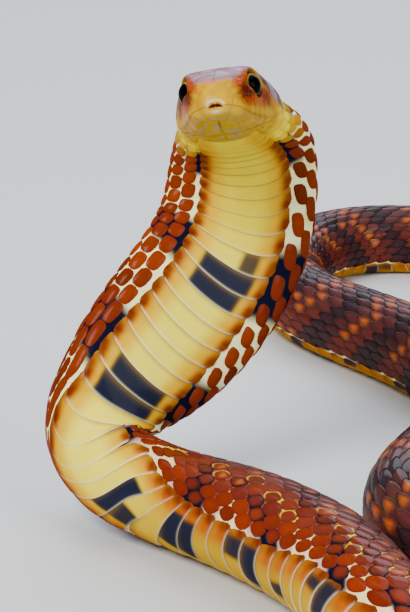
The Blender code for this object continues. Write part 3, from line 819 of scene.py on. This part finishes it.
def openEyes(points):
    # The skin dips under each eyeball, inside a raised ring. Returned with the ring and the dip.
    ring, opened = np.zeros((2,) + headS.shape)
    for sign in (1, -1):
        axis = eyeAxis(sign)
        away = points - pairedPoint(eyePlace, sign)
        along = away @ axis
        out = np.linalg.norm(away - along[..., None] * axis, axis=-1)
        near = (along > -0.6) & (out < 5)
        socket = np.sqrt(np.maximum(eyeRadius ** 2 - np.minimum(out, eyeRadius) ** 2, 0)) - 0.35
        opening = np.where(near, 1 - ramp(out, *lidRadii), 0)
        raised = np.where(near, bump(out - ringRadius, 0.2), 0)
        points = points - axis * (np.maximum(along - socket, 0) * opening - 0.12 * raised)[..., None]
        ring = ring + raised
        opened = opened + opening
    return points, ring, opened


# Stains of the head, the same on both sides: centre, size, how flat, colour and strength.
headStains = [
    ((2.0, 0.37), (0.9, 0.05), 4, (240, 196, 20), 0.85),
    ((5.2, 0.42), (3.5, 0.150), 4, (158, 46, 0), 0.95),
    ((5.0, 0.44), (3.0, 0.120), 2, (76, 12, 0), 1.0),
    ((6.0, 0.290), (4.4, 0.050), 4, (176, 66, 12), 0.95),
    ((11.0, 0.262), (3.4, 0.018), 4, (158, 92, 56), 0.70),
    ((14.6, 0.49), (3.8, 0.075), 4, (128, 34, 4), 0.92),
    ((15.4, 0.375), (1.5, 0.035), 2, (87, 40, 36), 0.85),
    ((19.5, 0.50), (2.6, 0.035), 4, (196, 122, 30), 0.60),
]
# The edge of the crown, as the share round the head at each arc length.
crownEdge = [(0, 0.20), (3, 0.245), (9, 0.265), (13, 0.29), (15, 0.37), (18, 0.45), (24, 0.50), (30, 0.52)]


def headTint(shown):
    s, side, x, y = headS, headSide, behindTip, toLeft
    # A yellow face, paler and finely lined on the lower jaw.
    face = blend((202, 152, 0), (228, 180, 0), ramp(wobble(x * 0.8, y * 0.9, 1.3), -0.4, 0.8))
    lower = ramp(-overMouth, 0.1, 0.7) * (1 - ramp(s, 13, 17)) * shown.jaw
    wavy = 0.5 + 0.5 * np.sin(overMouth * 11.4 + 1.3 * np.sin(y * 1.9) + 0.8 * np.sin(s * 1.3 + y))
    palePlace = bump(y, 0.8) * bump(overMouth + 0.9, 0.22) * shown.tip
    # The crown: grey-lilac brown with patches of painted lilac sheen, meeting the yellow snout in a pink
    # line.
    crownFront = 1.9 + 26 * headTurn ** 2
    outside = side - keyed(s, crownEdge)
    crown = ramp(s - crownFront, -0.25, 0.35) * (1 - ramp(outside, -0.012, 0.02))
    crownTint = painted(
        (158, 122, 130),
        ((112, 84, 82), ramp(s, 5, 17) * 0.8),
        # Patches of painted lilac sheen over the crown's brown.
        ((186, 178, 208), ramp(wobble(x * 0.9, y * 0.8, 4.0), -0.2, 0.9) * 0.6))
    colour = painted(
        face,
        ((196, 158, 10), ramp(side, 0.62, 0.8) * ramp(-overMouth, 0.5, 1.8) * 0.8),
        ((166, 144, 132), lower * ramp(wavy, 0.74, 1.0) * 0.55),
        ((255, 241, 200), palePlace * 0.5),
        (crownTint, crown),
        ((200, 122, 112), bump(s - crownFront, 0.42) * (1 - ramp(outside, -0.01, 0.03)) * 0.8))
    # Stains of brow, loreal and cheek, and orange streaks on the upper lip below the eye.
    patchy = 1.08 + 0.28 * wobble(s * 3.1, side * 46, 0.7)
    for centre, size, power, stain, strength in headStains:
        colour = blend(colour, stain, softSpot(s, side, centre, size, power) * strength * patchy)
    streak = 0.55 + 0.45 * np.sin(s * 5.2 + 1.5 * np.sin(side * 60))
    beneath = np.clip(softSpot(s, side, (8.4, 0.548), (5.6, 0.045), 4) * streak * 1.4, 0, 1)
    corner = blend((246, 210, 0), (240, 208, 6), ramp(side, 0.7, 0.85))
    line = np.where((upFromTip > 3.2) & (s > 3), 0.5, 0.22) * shown.rear
    grooveTint = painted((150, 96, 50), ((96, 72, 74), crown), ((150, 112, 70), lower))
    suture = (shieldName == "upperLabial") & (s > 6) & (s < 16)
    # A painted sheen of light on the right cheek, the neck's corners, the nape, then grooves, folds and
    # openings.
    return painted(
        colour,
        ((182, 62, 4), beneath * 0.95),
        # Painted sheen on the right cheek only.
        ((188, 164, 176), softSpot(s, -headTurn, (9.0, 0.60), (4.0, 0.10)) * 0.3),
        (corner, ramp(s, 19, 24) * ramp(side, 0.50, 0.56)),
        ((74, 50, 42), ramp(s, 23, 27) * (1 - ramp(side, 0.40, 0.50))),
        (grooveTint, shown.groove * line),
        ((96, 34, 14), shown.groove * suture * 0.6),
        ((150, 100, 50), shown.mouth * 0.25),
        ((120, 86, 56), shown.mental * ramp(s, 2.4, 3.2) * (1 - ramp(s, 5, 6)) * 0.7),
        # Painted olive-gold shade along the throat folds.
        ((140, 98, 34), shown.fold * 0.6),
        ((255, 222, 200), shown.notchRim * 0.65),
        ((107, 30, 40), shown.notch * 1.3),
        ((40, 18, 12), shown.nostril),
        ((120, 60, 28), shown.ring * 0.5),
        # Painted shade where the skin dips under each eyeball.
        ((22, 14, 12), shown.opened))


def buildHead():
    shown = headFeatures()
    fromNostril = np.min([
        np.linalg.norm(bareHead - pairedPoint(nostrilPlace, sign), axis=-1) for sign in (1, -1)], axis=0)
    shown.nostril = 1 - ramp(fromNostril, 0.35, 0.62)
    points = bareHead + headNormal * headLift(shown, fromNostril)[..., None]
    points, shown.ring, shown.opened = openEyes(points)
    # The face looks straight at the lamps, so its tint is held back.
    heldBack = 0.80
    colour = headTint(shown) * heldBack
    # The very tip lies in the notch and takes its tint.
    notchTint = colour[0][colour[0].sum(-1).argmin()]
    tip = (headPoint(-0.02, 0, 0.0), notchTint, (0, 0.5))
    return tubeFrom("headSkin", points, colour, unrolled(headS, headTurn), [tip], headHorn)


headSkin = buildHead()
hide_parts("head", "lower_jaw")


def eyeMaterial():
    material, tree, shader = newMaterial("eyeGloss")
    tint = node(tree, "ShaderNodeAttribute", {}, attribute_name="tint").outputs["Color"]
    bright = maths(tree, "ADD", maths(tree, "MULTIPLY", noise(tree, 5200.0, Detail=3.0), 0.8), 0.6)
    feed(tree, shader, {
        "Base Color": brightened(tree, tint, bright), "Roughness": 0.07, "Specular IOR Level": 0.025})
    return material


eyeGloss = eyeMaterial()


def buildEye(sign, name):
    # A ball round the eye's axis with a slightly fuller cornea. Rings of colour by the angle a from
    # the axis, where b goes round it.
    rows, columns = 72, 96
    pupil = 0.72
    angle = np.linspace(0, math.pi, rows)[1:-1]
    a, b = np.meshgrid(angle, np.linspace(0, 2 * math.pi, columns, endpoint=False), indexing="ij")
    axis = eyeAxis(sign)
    across = unit(np.cross(axis, headUp))
    square = across * np.cos(b)[..., None] + np.cross(across, axis) * np.sin(b)[..., None]
    out = axis * np.cos(a)[..., None] + square * np.sin(a)[..., None]
    centre = pairedPoint(eyePlace, sign)
    points = centre + out * (eyeRadius + 0.10 * bump(a, 0.8) - 0.02)[..., None]
    ray = 0.5 + 0.5 * np.sin(b * 46 + 3 * np.sin(b * 7)) * np.sin(b * 17 + 1)
    above = ramp(np.sin(b), -0.5, 0.7)
    gold = blend((58, 40, 16), (142, 104, 24), above * (0.6 + 0.4 * ray))
    olive = blend((36, 24, 14), (84, 62, 20), above * (0.5 + 0.5 * ray))
    black = linear((1, 1, 3))
    colour = painted(
        gold,
        (olive, ramp(a, pupil + 0.10, pupil + 0.36)),
        ((40, 26, 18), ramp(a, 1.2, 1.36)),
        ((232, 196, 96), bump(a - pupil - 0.045, 0.03) * (0.15 + 0.4 * above)),
        (black, 1 - ramp(a, pupil - 0.02, pupil + 0.02)))
    uv = np.stack([0.5 + a / math.pi * 0.5 * np.cos(b), 0.5 + a / math.pi * 0.5 * np.sin(b)], -1)
    front = (centre + axis * (eyeRadius + 0.08), black, (0.5, 0.5))
    back = (centre - axis * (eyeRadius - 0.02), black, (0.99, 0.5))
    return tubeFrom(name, points, colour, uv, [front, back], eyeGloss)


for sign, word in ((1, "left"), (-1, "right")):
    eye = buildEye(sign, "eyeBall_" + word)
    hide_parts("eye_" + word)


# The body's skin.

def buildSkin(name, first, last, step, columns):
    # Skin under the coat: it lies this far inside the solids' surface.
    depth = 0.32
    s = np.linspace(first, last, int((last - first) / step) + 1)
    sGrid, tGrid = np.meshgrid(s, np.linspace(-1, 1, columns, endpoint=False), indexing="ij")
    thin = np.minimum(depth, keyed(sGrid, halfWidth) * 0.25)
    points, normals = onSurface(sGrid, tGrid, -thin)
    crease = 0.05 * np.sin(sGrid * 5.0 + 2 * np.sin(tGrid * 20)) * (1 - ramp(sGrid, 150, 220))
    points = points + normals * crease[..., None]
    tint = bodySkinTint(sGrid, tGrid)
    poles = [(points[end].mean(0), tint[end, 0], (s[end] / pastTail, 0.5)) for end in (0, -1)]
    return tubeFrom(name, points, tint, unrolled(sGrid, tGrid), poles, stretchedSkin)


frontSkin = buildSkin("skinFront", 33.5, 240, 0.5, 200)
rearSkin = buildSkin("skinRear", 239.5, total - 0.3, 1.3, 80)
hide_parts("hood_upper", "hood_lower", "neck", "body_1", "body_2")
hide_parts("body_3", "body_4", "body_5", "body_6", "body_7", "body_8", "body_9", "body_10",
            "body_11", "tail_1", "tail_2", "tail_3", "tail_4")


# Belly scutes.

def rowStarts(longest, share):
    # Arc lengths of the front edges of successive scutes, or of rows of scales where the belly's
    # stretch in a bend counts no further than longest and a row is the share of a scute long.
    places = [14.0, 19.4, 24.1, 28.6, 32.3]
    while places[-1] < total - 12:
        here = places[-1]
        stretch = min(bellyStretch(np.array([here]))[0], longest)
        places.append(here + float(keyed(here, scutePitch) * keyed(here, share) / stretch))
    return np.array(places)


starts = rowStarts(9.0, [(0, 1.0), (pastTail, 1.0)])
steps = np.diff(starts, append=starts[-1] + 3.0)
# How far the middle of a scute reaches behind its ends, and how far the whole is turned in the
# bend below the hood.
scuteBow = [
    (14, 2.2), (24, 3.2), (40, 2.8), (56, 1.8), (96, 1.8), (112, 0.4), (126, -1.6), (140, -2.4),
    (185, -2.4), (206, 0.0), (240, 1.8), (pastTail, 1.8),
]
scuteSkew = [
    (14, 0.0), (90, 0.0), (100, -3.0), (108, -7.5), (115, -9.0), (121, -7.5), (132, -2.5), (142, 0.0),
    (pastTail, 0.0),
]
# The heights of a scute's front and rear edges, of its pillow and of the foot of its skirt. Then its
# length in steps, what its ends are longer by, how much shorter a split one is in the middle, where
# the lobe of an end starts and over what share it rounds off, and how far back the lobe is drawn.
scuteLook = {
    "front": -0.27, "rear": -0.03, "pillow": 0.05, "skirt": -0.42, "length": 1.12, "longerEnds": 0.16,
    "splitShorter": 0.18, "lobeStart": 0.83, "lobeShare": 0.17, "lobeBack": 0.30,
}
# Dark blotches: arc length of the scute's middle, from and to as shares round the body counted on
# past 1 at the mid belly, and strength.
blotches = [
    (61.7, 0.83, 0.94, 0.75), (64.8, 0.81, 1.14, 1.0), (68.4, 0.83, 1.14, 1.0), (90.0, 0.80, 1.18, 1.0),
    (95.0, 0.80, 1.21, 1.0), (119.8, 0.83, 1.20, 1.0), (123.8, 1.04, 1.22, 0.95), (133.0, 0.73, 1.06, 1.0),
    (138.0, 0.75, 1.06, 1.0), (151.0, 0.71, 0.85, 0.95), (157.0, 0.72, 1.0, 1.0), (164.0, 0.86, 0.96, 0.9),
    (181.0, 0.72, 0.80, 0.9), (185.5, 0.69, 0.90, 0.95),
]


def blotchShare(index, turn):
    # How dark one scute is at each turn, where turn runs on past 1 over the mid belly.
    dark = np.zeros(turn.shape)
    for place, low, high, strength in blotches:
        if np.abs(starts + steps * 0.6 - place).argmin() == index:
            around = ramp(turn, low - 0.022, low + 0.030) * (1 - ramp(turn, high - 0.030, high + 0.022))
            dark = np.maximum(dark, around * strength)
    patch = ramp(wobble(starts[index] * 0.22, turn * 7.0, 2.0), 0.25, 0.5)
    return np.maximum(dark, ramp(starts[index], 195, 205) * patch * 0.9)


def scuteTint(index, sGrid, c, turn, fromEnd, fromRear):
    # A pale middle, stronger yellow sides and orange to red-brown ends, then dark blotches, a pale
    # rear edge, and shade under the scute before.
    s0, step = starts[index], steps[index]
    outward = np.abs(c)
    uneven = 0.5 + 0.5 * wobble(sGrid * 1.6, c * 5)
    coilward = ramp(s0, 106, 132)
    middle = painted(
        (232, 208, 20),
        ((242, 224, 58), ramp(s0, 48, 66)),
        ((246, 226, 60), ramp(s0, 78, 96)),
        ((204, 160, 4), coilward))
    longer = ramp(s0, 96, 140)
    ends = 1 - ramp(fromEnd, 1.2 + 1.4 * longer, 3.0 + 1.8 * longer)
    ends = ends * (1 - 0.5 * ramp(s0, 215, 300)) * ramp(s0, 26, 33)
    ends = ends * (0.7 + 0.3 * uneven) * (1 - 0.5 * ramp(fromRear, 1.5, 3.5))
    dark = blotchShare(index, turn) * (1 - 0.15 * ramp(fromRear, 2.6, 3.6))
    paleEdge = blend((250, 246, 208), (214, 200, 178), ramp(s0, 110, 128))
    edge = bump(fromRear, 0.22) * ramp(fromEnd, 0.6, 1.6)
    under = fromRear - step * 0.98
    shade = np.clip(bump(under, 0.45) + (under > 0), 0, 1)
    return painted(
        middle,
        (blend((222, 174, 0), (190, 128, 0), coilward), ramp(outward, 0.28, 0.70)),
        ((192, 136, 0), uneven * ramp(outward, 0.45, 0.85) * 0.6),
        ((176, 70, 0), ends),
        ((86, 24, 6), ends * (1 - ramp(fromEnd, 0.8, 2.6)) * 0.95),
        ((84, 56, 22), np.clip(dark * 1.5, 0, 1) * 0.9),
        ((27, 31, 48), dark * 1.6 - 0.6),
        (paleEdge, edge * (0.1 + 0.55 * ramp(s0, 44, 58))),
        ((128, 95, 40), shade * (0.75 - 0.3 * ramp(s0, 44, 60))))


def scuteStrip(index, low, high, across, split):
    # A scute or a half of a split one, as grids of points, colours and UV places: a bowed strip from
    # low to high across the belly. Its front edge lies under the one before, its rear edge stands up
    # and drops in a skirt, and its ends are rounded lobes. c goes across and v back from the front.
    s0, step = starts[index], steps[index]
    halfLength = keyed(s0, scuteHalf)
    v = np.array([0, 0.15, 0.3, 0.46, 0.6, 0.72, 0.82, 0.89, 0.945, 1.0, 1.0])[:, None]
    u = np.linspace(-1, 1, across)
    c = low + (high - low) * (np.sign(u) * np.abs(u) ** 0.8 + 1) / 2
    outward = np.abs(c)
    intoLobe = np.clip((outward - scuteLook["lobeStart"]) / scuteLook["lobeShare"], 0, 1)
    lobe = np.maximum(np.sqrt(np.clip(1 - intoLobe ** 2.6, 0, 1)), 0.06)
    length = step * (scuteLook["length"] + scuteLook["longerEnds"] * outward ** 4)
    if split:
        length = length * (1 - scuteLook["splitShorter"] * (1 - outward) ** 3)
    bow = keyed(s0, scuteBow) / bellyStretch(np.array([s0]))[0] * (1 - outward ** 2.4)
    rearEdge = s0 + step + bow + keyed(s0, scuteSkew) * c - scuteLook["lobeBack"] * step * (1 - lobe)
    fromRear = (length * lobe) * (1 - v)
    sGrid = rearEdge - fromRear
    tGrid = np.broadcast_to(1 + c * (halfLength / halfRound(s0)), sGrid.shape)
    front, rear = scuteLook["front"], scuteLook["rear"]
    rise = front + (rear - front) * (1 - (1 - v) ** 1.8) + scuteLook["pillow"] * np.sin(math.pi * v)
    lift = np.minimum(rise - 0.10 * outward ** 8, 0.0)
    lift[-2] -= 0.03
    lift[-1] = scuteLook["skirt"]
    tint = scuteTint(index, sGrid, c, tGrid[0], (1 - outward) * halfLength, fromRear)
    alongPatch = np.broadcast_to(s0 / pastTail + (v - 0.5) * 0.003, sGrid.shape)
    return onSurface(sGrid, tGrid, lift)[0], tint, np.stack([alongPatch, 0.02 + (tGrid - 1) * 0.05], -1)


def buildScutes(name, low, high, across, split):
    # The scutes that start between two arc lengths. Split ones leave a gap along the mid belly.
    halfGap = 0.012
    parts = ((-1, -halfGap), (halfGap, 1)) if split else ((-1, 1),)
    strips = []
    for index in np.flatnonzero((starts[:-1] >= low) & (starts[:-1] < high)):
        jitter = 1 + 0.05 * (rng.random() - 0.5)
        for part in parts:
            points, tint, uv = scuteStrip(index, *part, across, split)
            strips.append((points, tint * jitter, uv))
    points, tint, uv = (np.stack(values) for values in zip(*strips))
    count, rows, columns, _ = points.shape
    quads = copied(gridQuads(rows, columns, False), count, rows * columns)
    return meshFrom(name, points, quads, [], tint, uv, scuteHorn)


for name, low, high, across, split, slotName in (
        ("scutesHood", 13, 125, 61, False, "hood_skin"),
        ("scutesFront", 125, 330, 49, False, "body_skin"),
        ("scutesRear", 330, vent, 33, False, "body_skin"),
        ("subcaudals", vent, total, 17, True, "tail_skin")):
    piece = buildScutes(name, low, high, across, split)


# Scales.

def scaleTemplate(rings, around, power, keel):
    # One scale over the unit disc: a runs from its root (-1) to its tip (1), b across it, and rho
    # out from its middle. Its last ring is the foot of its skirt.
    angle = np.linspace(0, 2 * math.pi, around, endpoint=False)
    outline = np.stack([np.cos(angle), np.sin(angle)])
    outline = np.sign(outline) * np.abs(outline) ** (2 / power)
    reach = np.repeat([*rings, 1.03], around)
    a, b = np.hstack([np.zeros((2, 1)), np.tile(outline, len(rings) + 1) * reach])
    rho = np.concatenate([[0.0], np.minimum(reach, 1.0)])
    k = np.arange(around)
    return {
        "a": a, "b": b, "rho": rho, "skirt": np.arange(len(a)) > len(rings) * around,
        "height": 1 - rho ** 2.6 + keel * bump(b, 0.13) * (1 - rho ** 3),
        "tris": np.stack([np.zeros(around, int), 1 + k, 1 + (k + 1) % around], -1),
        "quads": gridQuads(len(rings) + 1, around, True) + 1,
    }


def dorsalTint(s0, t0, a, b, rho):
    # Colour of each scale from its place: brick orange on the hood's sides, then orange-red beside
    # the scutes, brick red above them with a painted mauve-grey sheen on top, and a dark chevron on the nape.
    vary, uneven, chance = (rng.random((len(s0), 1)) for _ in range(3))
    side = np.abs(t0)
    up = fromScutes(s0, t0)
    place = barPlace(s0, t0)
    onBody = pastHood(s0)
    behind = ramp(s0, 196, 240)
    orange = blend((98, 32, 2), (134, 48, 0), vary)
    yellowNeck = blend((246, 216, 0), (190, 80, 0), ramp(s0, 32, 38) * 0.8 + 0.08 * vary)
    hood = painted(
        blend((104, 74, 60), (128, 92, 72), vary),
        (orange, ramp(side, 0.34, 0.46)),
        (yellowNeck, (1 - ramp(s0, 34, 39)) * ramp(side, 0.42, 0.48)))
    coil = painted(
        blend((104, 28, 8), (134, 42, 6), vary),
        (blend((96, 32, 22), (120, 44, 26), vary), ramp(up, 2.5, 6)),
        # Mauve grey on top: painted sheen of sky light.
        (blend((84, 46, 44), (104, 62, 58), vary), ramp(up, 8, 12.5)),
        (blend((86, 30, 22), (70, 36, 36), ramp(up, 5, 12) * 0.7 + 0.3 * vary), behind * 0.85))
    # The chevron of the species points forward on the nape.
    fromChevron = np.abs(s0 - (31 + 34 * side ** 0.9))
    chevron = (1 - ramp(fromChevron, 1.8, 3.4)) * (1 - ramp(side, 0.34, 0.46))
    hoodBar = nearShare(place, barCentres, 5.5) * (1 - onBody) * ramp(side, 0.36, 0.46)
    darkBar = nearShare(place, barCentres, 2.0 + 1.4 * behind) * onBody
    paleBar = nearShare(place, paleCentres, 2.6) * onBody
    tint = painted(
        hood,
        (coil, onBody),
        ((26, 20, 22), chevron * 0.92),
        ((112, 34, 18), hoodBar * 0.5),
        ((38, 28, 34), darkBar * (0.2 + 0.65 * behind)))
    tint = tint * (1 + 0.10 * (uneven[..., None] - 0.5))
    # A painted highlight: each scale a little lighter in its middle.
    tint = blend(tint, tint * 1.4, (1 - ramp(rho, 0.1, 0.8)) * 0.16)
    # Rims: dark beside the dark bars and on the far coils, yellow or orange in the pale bars.
    darkRim = ramp(rho, 0.62, 0.96) * (0.15 + 0.75 * darkBar + 0.35 * behind)
    yellowRim = paleBar * ramp(up, 3.5, 5) * (1 - ramp(up, 9, 12)) * (1 - behind * 0.65)
    speck = chance < (0.75 * paleBar + 0.05) * ramp(up, 6, 9) + 0.3 * paleBar * behind
    tint = painted(
        tint,
        (blend((108, 34, 12), (30, 18, 20), onBody), darkRim),
        ((242, 196, 20), yellowRim * ramp(rho, 0.78, 0.96) * ramp(-a - b, -0.4, 0.4) * 0.85),
        ((188, 88, 16), speck * (1 - ramp(rho, 0.3, 0.8)) * ramp(a, -0.3, 0.2) * 0.7))
    # Painted shade: on the far coils each scale is darker towards its root, under the one before.
    return blend(tint, tint * 0.45, ramp(-a, 0.2, 0.9) * behind * 0.8)


def buildScales(name, template, look, material, s0, t0, length, width, slant):
    # Scales at their roots, which are columns of arc length and turn. Each rises from its root to its
    # tip with a dome between, and its tip leans towards the back by the slant.
    uvPatch = 0.0015
    a, b = template["a"], template["b"]
    s0, t0, length, width = (values[:, None] for values in (s0, t0, length, width))
    taper = 1 - look["taper"] * (a + 0.2)
    across = b * taper * (width / 2) - np.where(t0 >= 0, 1.0, -1.0) * slant * a * (length / 2)
    sGrid = s0 + a * (length / 2)
    tGrid = t0 + across / halfRound(s0)
    rise = look["root"] + (look["tip"] - look["root"]) * np.clip((a + 1) / 2, 0, None) ** look["ease"]
    lift = rise + look["dome"] * template["height"] * (width / 2.4)
    lift = np.minimum(np.where(template["skirt"], look["skirt"], lift), 0.0)
    shrink = np.minimum(1, keyed(s0, halfWidth) / 3)
    points, _ = onSurface(np.clip(sGrid, 0, total - 0.05), tGrid, lift * shrink)
    tint = dorsalTint(s0, t0, a, b, template["rho"])
    uv = unrolled(s0, t0) + uvPatch * np.stack([a, b], -1)
    quads, tris = (copied(template[kind], len(s0), len(a)) for kind in ("quads", "tris"))
    return meshFrom(name, points, quads, tris, tint, uv, material)


def scaleRoots(rows, first, last, perSide, margin):
    # Roots of the scales between two arc lengths: arc length, turn, room across and row length. A
    # row is its start, its length, and how far back every second scale stands. The scales next to
    # the scutes stand off by the margin, in scales.
    column = np.arange(-perSide, perSide + 1)
    found = []
    for start, length, shift in rows:
        here = start + shift * (column % 2)
        turn = column / (perSide + margin) * edgeTurn(here)
        room = edgeTurn(here) * halfRound(here) / (perSide + margin)
        keep = (here >= np.maximum(np.interp(np.abs(turn), *coatFront), first)) & (here < last)
        found.append(np.stack([here, turn, room, np.full(len(here), length)])[:, keep])
    return np.hstack(found)


hoodTemplate = scaleTemplate((0.25, 0.48, 0.68, 0.84, 0.95, 1.0), 22, 2.9, 0)
coilTemplate = scaleTemplate((0.4, 0.74, 0.92, 1.0), 20, 1.65, 0)
bodyTemplate = scaleTemplate((0.30, 0.60, 0.84, 1.0), 16, 1.75, 0.45)
smallTemplate = scaleTemplate((0.45, 0.82, 1.0), 12, 1.8, 0.35)

napeLook = {"root": -0.30, "tip": -0.16, "ease": 1.0, "dome": 0.13, "skirt": -0.55, "taper": 0.06}
hoodLook = {"root": -0.32, "tip": -0.20, "ease": 1.0, "dome": 0.19, "skirt": -0.60, "taper": 0.05}
coilLook = {"root": -0.28, "tip": -0.16, "ease": 1.0, "dome": 0.10, "skirt": -0.60, "taper": 0.03}
bodyLook = {"root": -0.40, "tip": -0.13, "ease": 0.9, "dome": 0.12, "skirt": -0.62, "taper": 0.22}

# Rows of scales over the nape, evenly spaced, and over the body, spaced by the scutes.
napeRows = [(start, 2.55, 1.17) for start in np.arange(22.0, 32.6, 2.35)]
scaleStarts = rowStarts(1.05, [
    (0, 1.0), (34, 1.0), (42, 1.22), (98, 1.22), (112, 0.96), (196, 0.96), (215, 1.0), (pastTail, 1.0)])
bodyRows = [(start, step, step * 0.5) for start, step in zip(scaleStarts, np.diff(scaleStarts))]

s0, t0, room, step = scaleRoots(napeRows, 22.0, 32.6, 9, 0.68)
piece = buildScales("scalesNape", hoodTemplate, napeLook, hoodHorn, s0, t0, step, room * 1.02, 0.15)

# On its left the hood's scales are shorter and slant more.
s0, t0, room, step = scaleRoots(bodyRows, 32.6, 104, 8, 0.72)
onLeft = ramp(t0, 0.1, 0.5)
length = step * (0.98 - 0.22 * onLeft)
width = room * (0.98 + 0.04 * onLeft)
slant = (0.08 + 0.20 * onLeft)[:, None]
piece = buildScales("scalesHood", hoodTemplate, hoodLook, hoodHorn, s0, t0, length, width, slant)

s0, t0, room, step = scaleRoots(bodyRows, 104, 128, 8, 0.8)
slant = 0.25 * ramp(np.abs(t0), 0.1, 0.5)[:, None]
piece = buildScales("scalesNeck", coilTemplate, coilLook, backHorn, s0, t0, step * 1.06, room * 1.12, slant)

# On the front coil the scales in the bars are a little smaller.
s0, t0, room, step = scaleRoots(bodyRows, 128, 200, 9, 0.7)
place = barPlace(s0, t0)
size = 1 - 0.10 * nearShare(place, barCentres, 3.0) - 0.10 * nearShare(place, paleCentres, 3.4)
width = room * 1.48 * size
piece = buildScales("scalesCoil", coilTemplate, coilLook, backHorn, s0, t0, step * size, width, 0)

for name, low, high, perSide, slotName in (
        ("scalesBody1", 200, 260, 8, "body_skin"), ("scalesBody2", 260, 400, 8, "body_skin"),
        ("scalesBody3", 400, 560, 8, "body_skin"), ("scalesBody4", 560, vent, 7, "body_skin"),
        ("scalesTail1", vent, 770, 5, "tail_skin"), ("scalesTail2", 770, 835, 4, "tail_skin"),
        ("scalesTail3", 835, total - 3, 3, "tail_skin")):
    s0, t0, room, step = scaleRoots(bodyRows, low, high, perSide, 0.68)
    template = bodyTemplate if high <= vent else smallTemplate
    piece = buildScales(name, template, bodyLook, backHorn, s0, t0, step * 1.52, room * 1.30, 0.12)
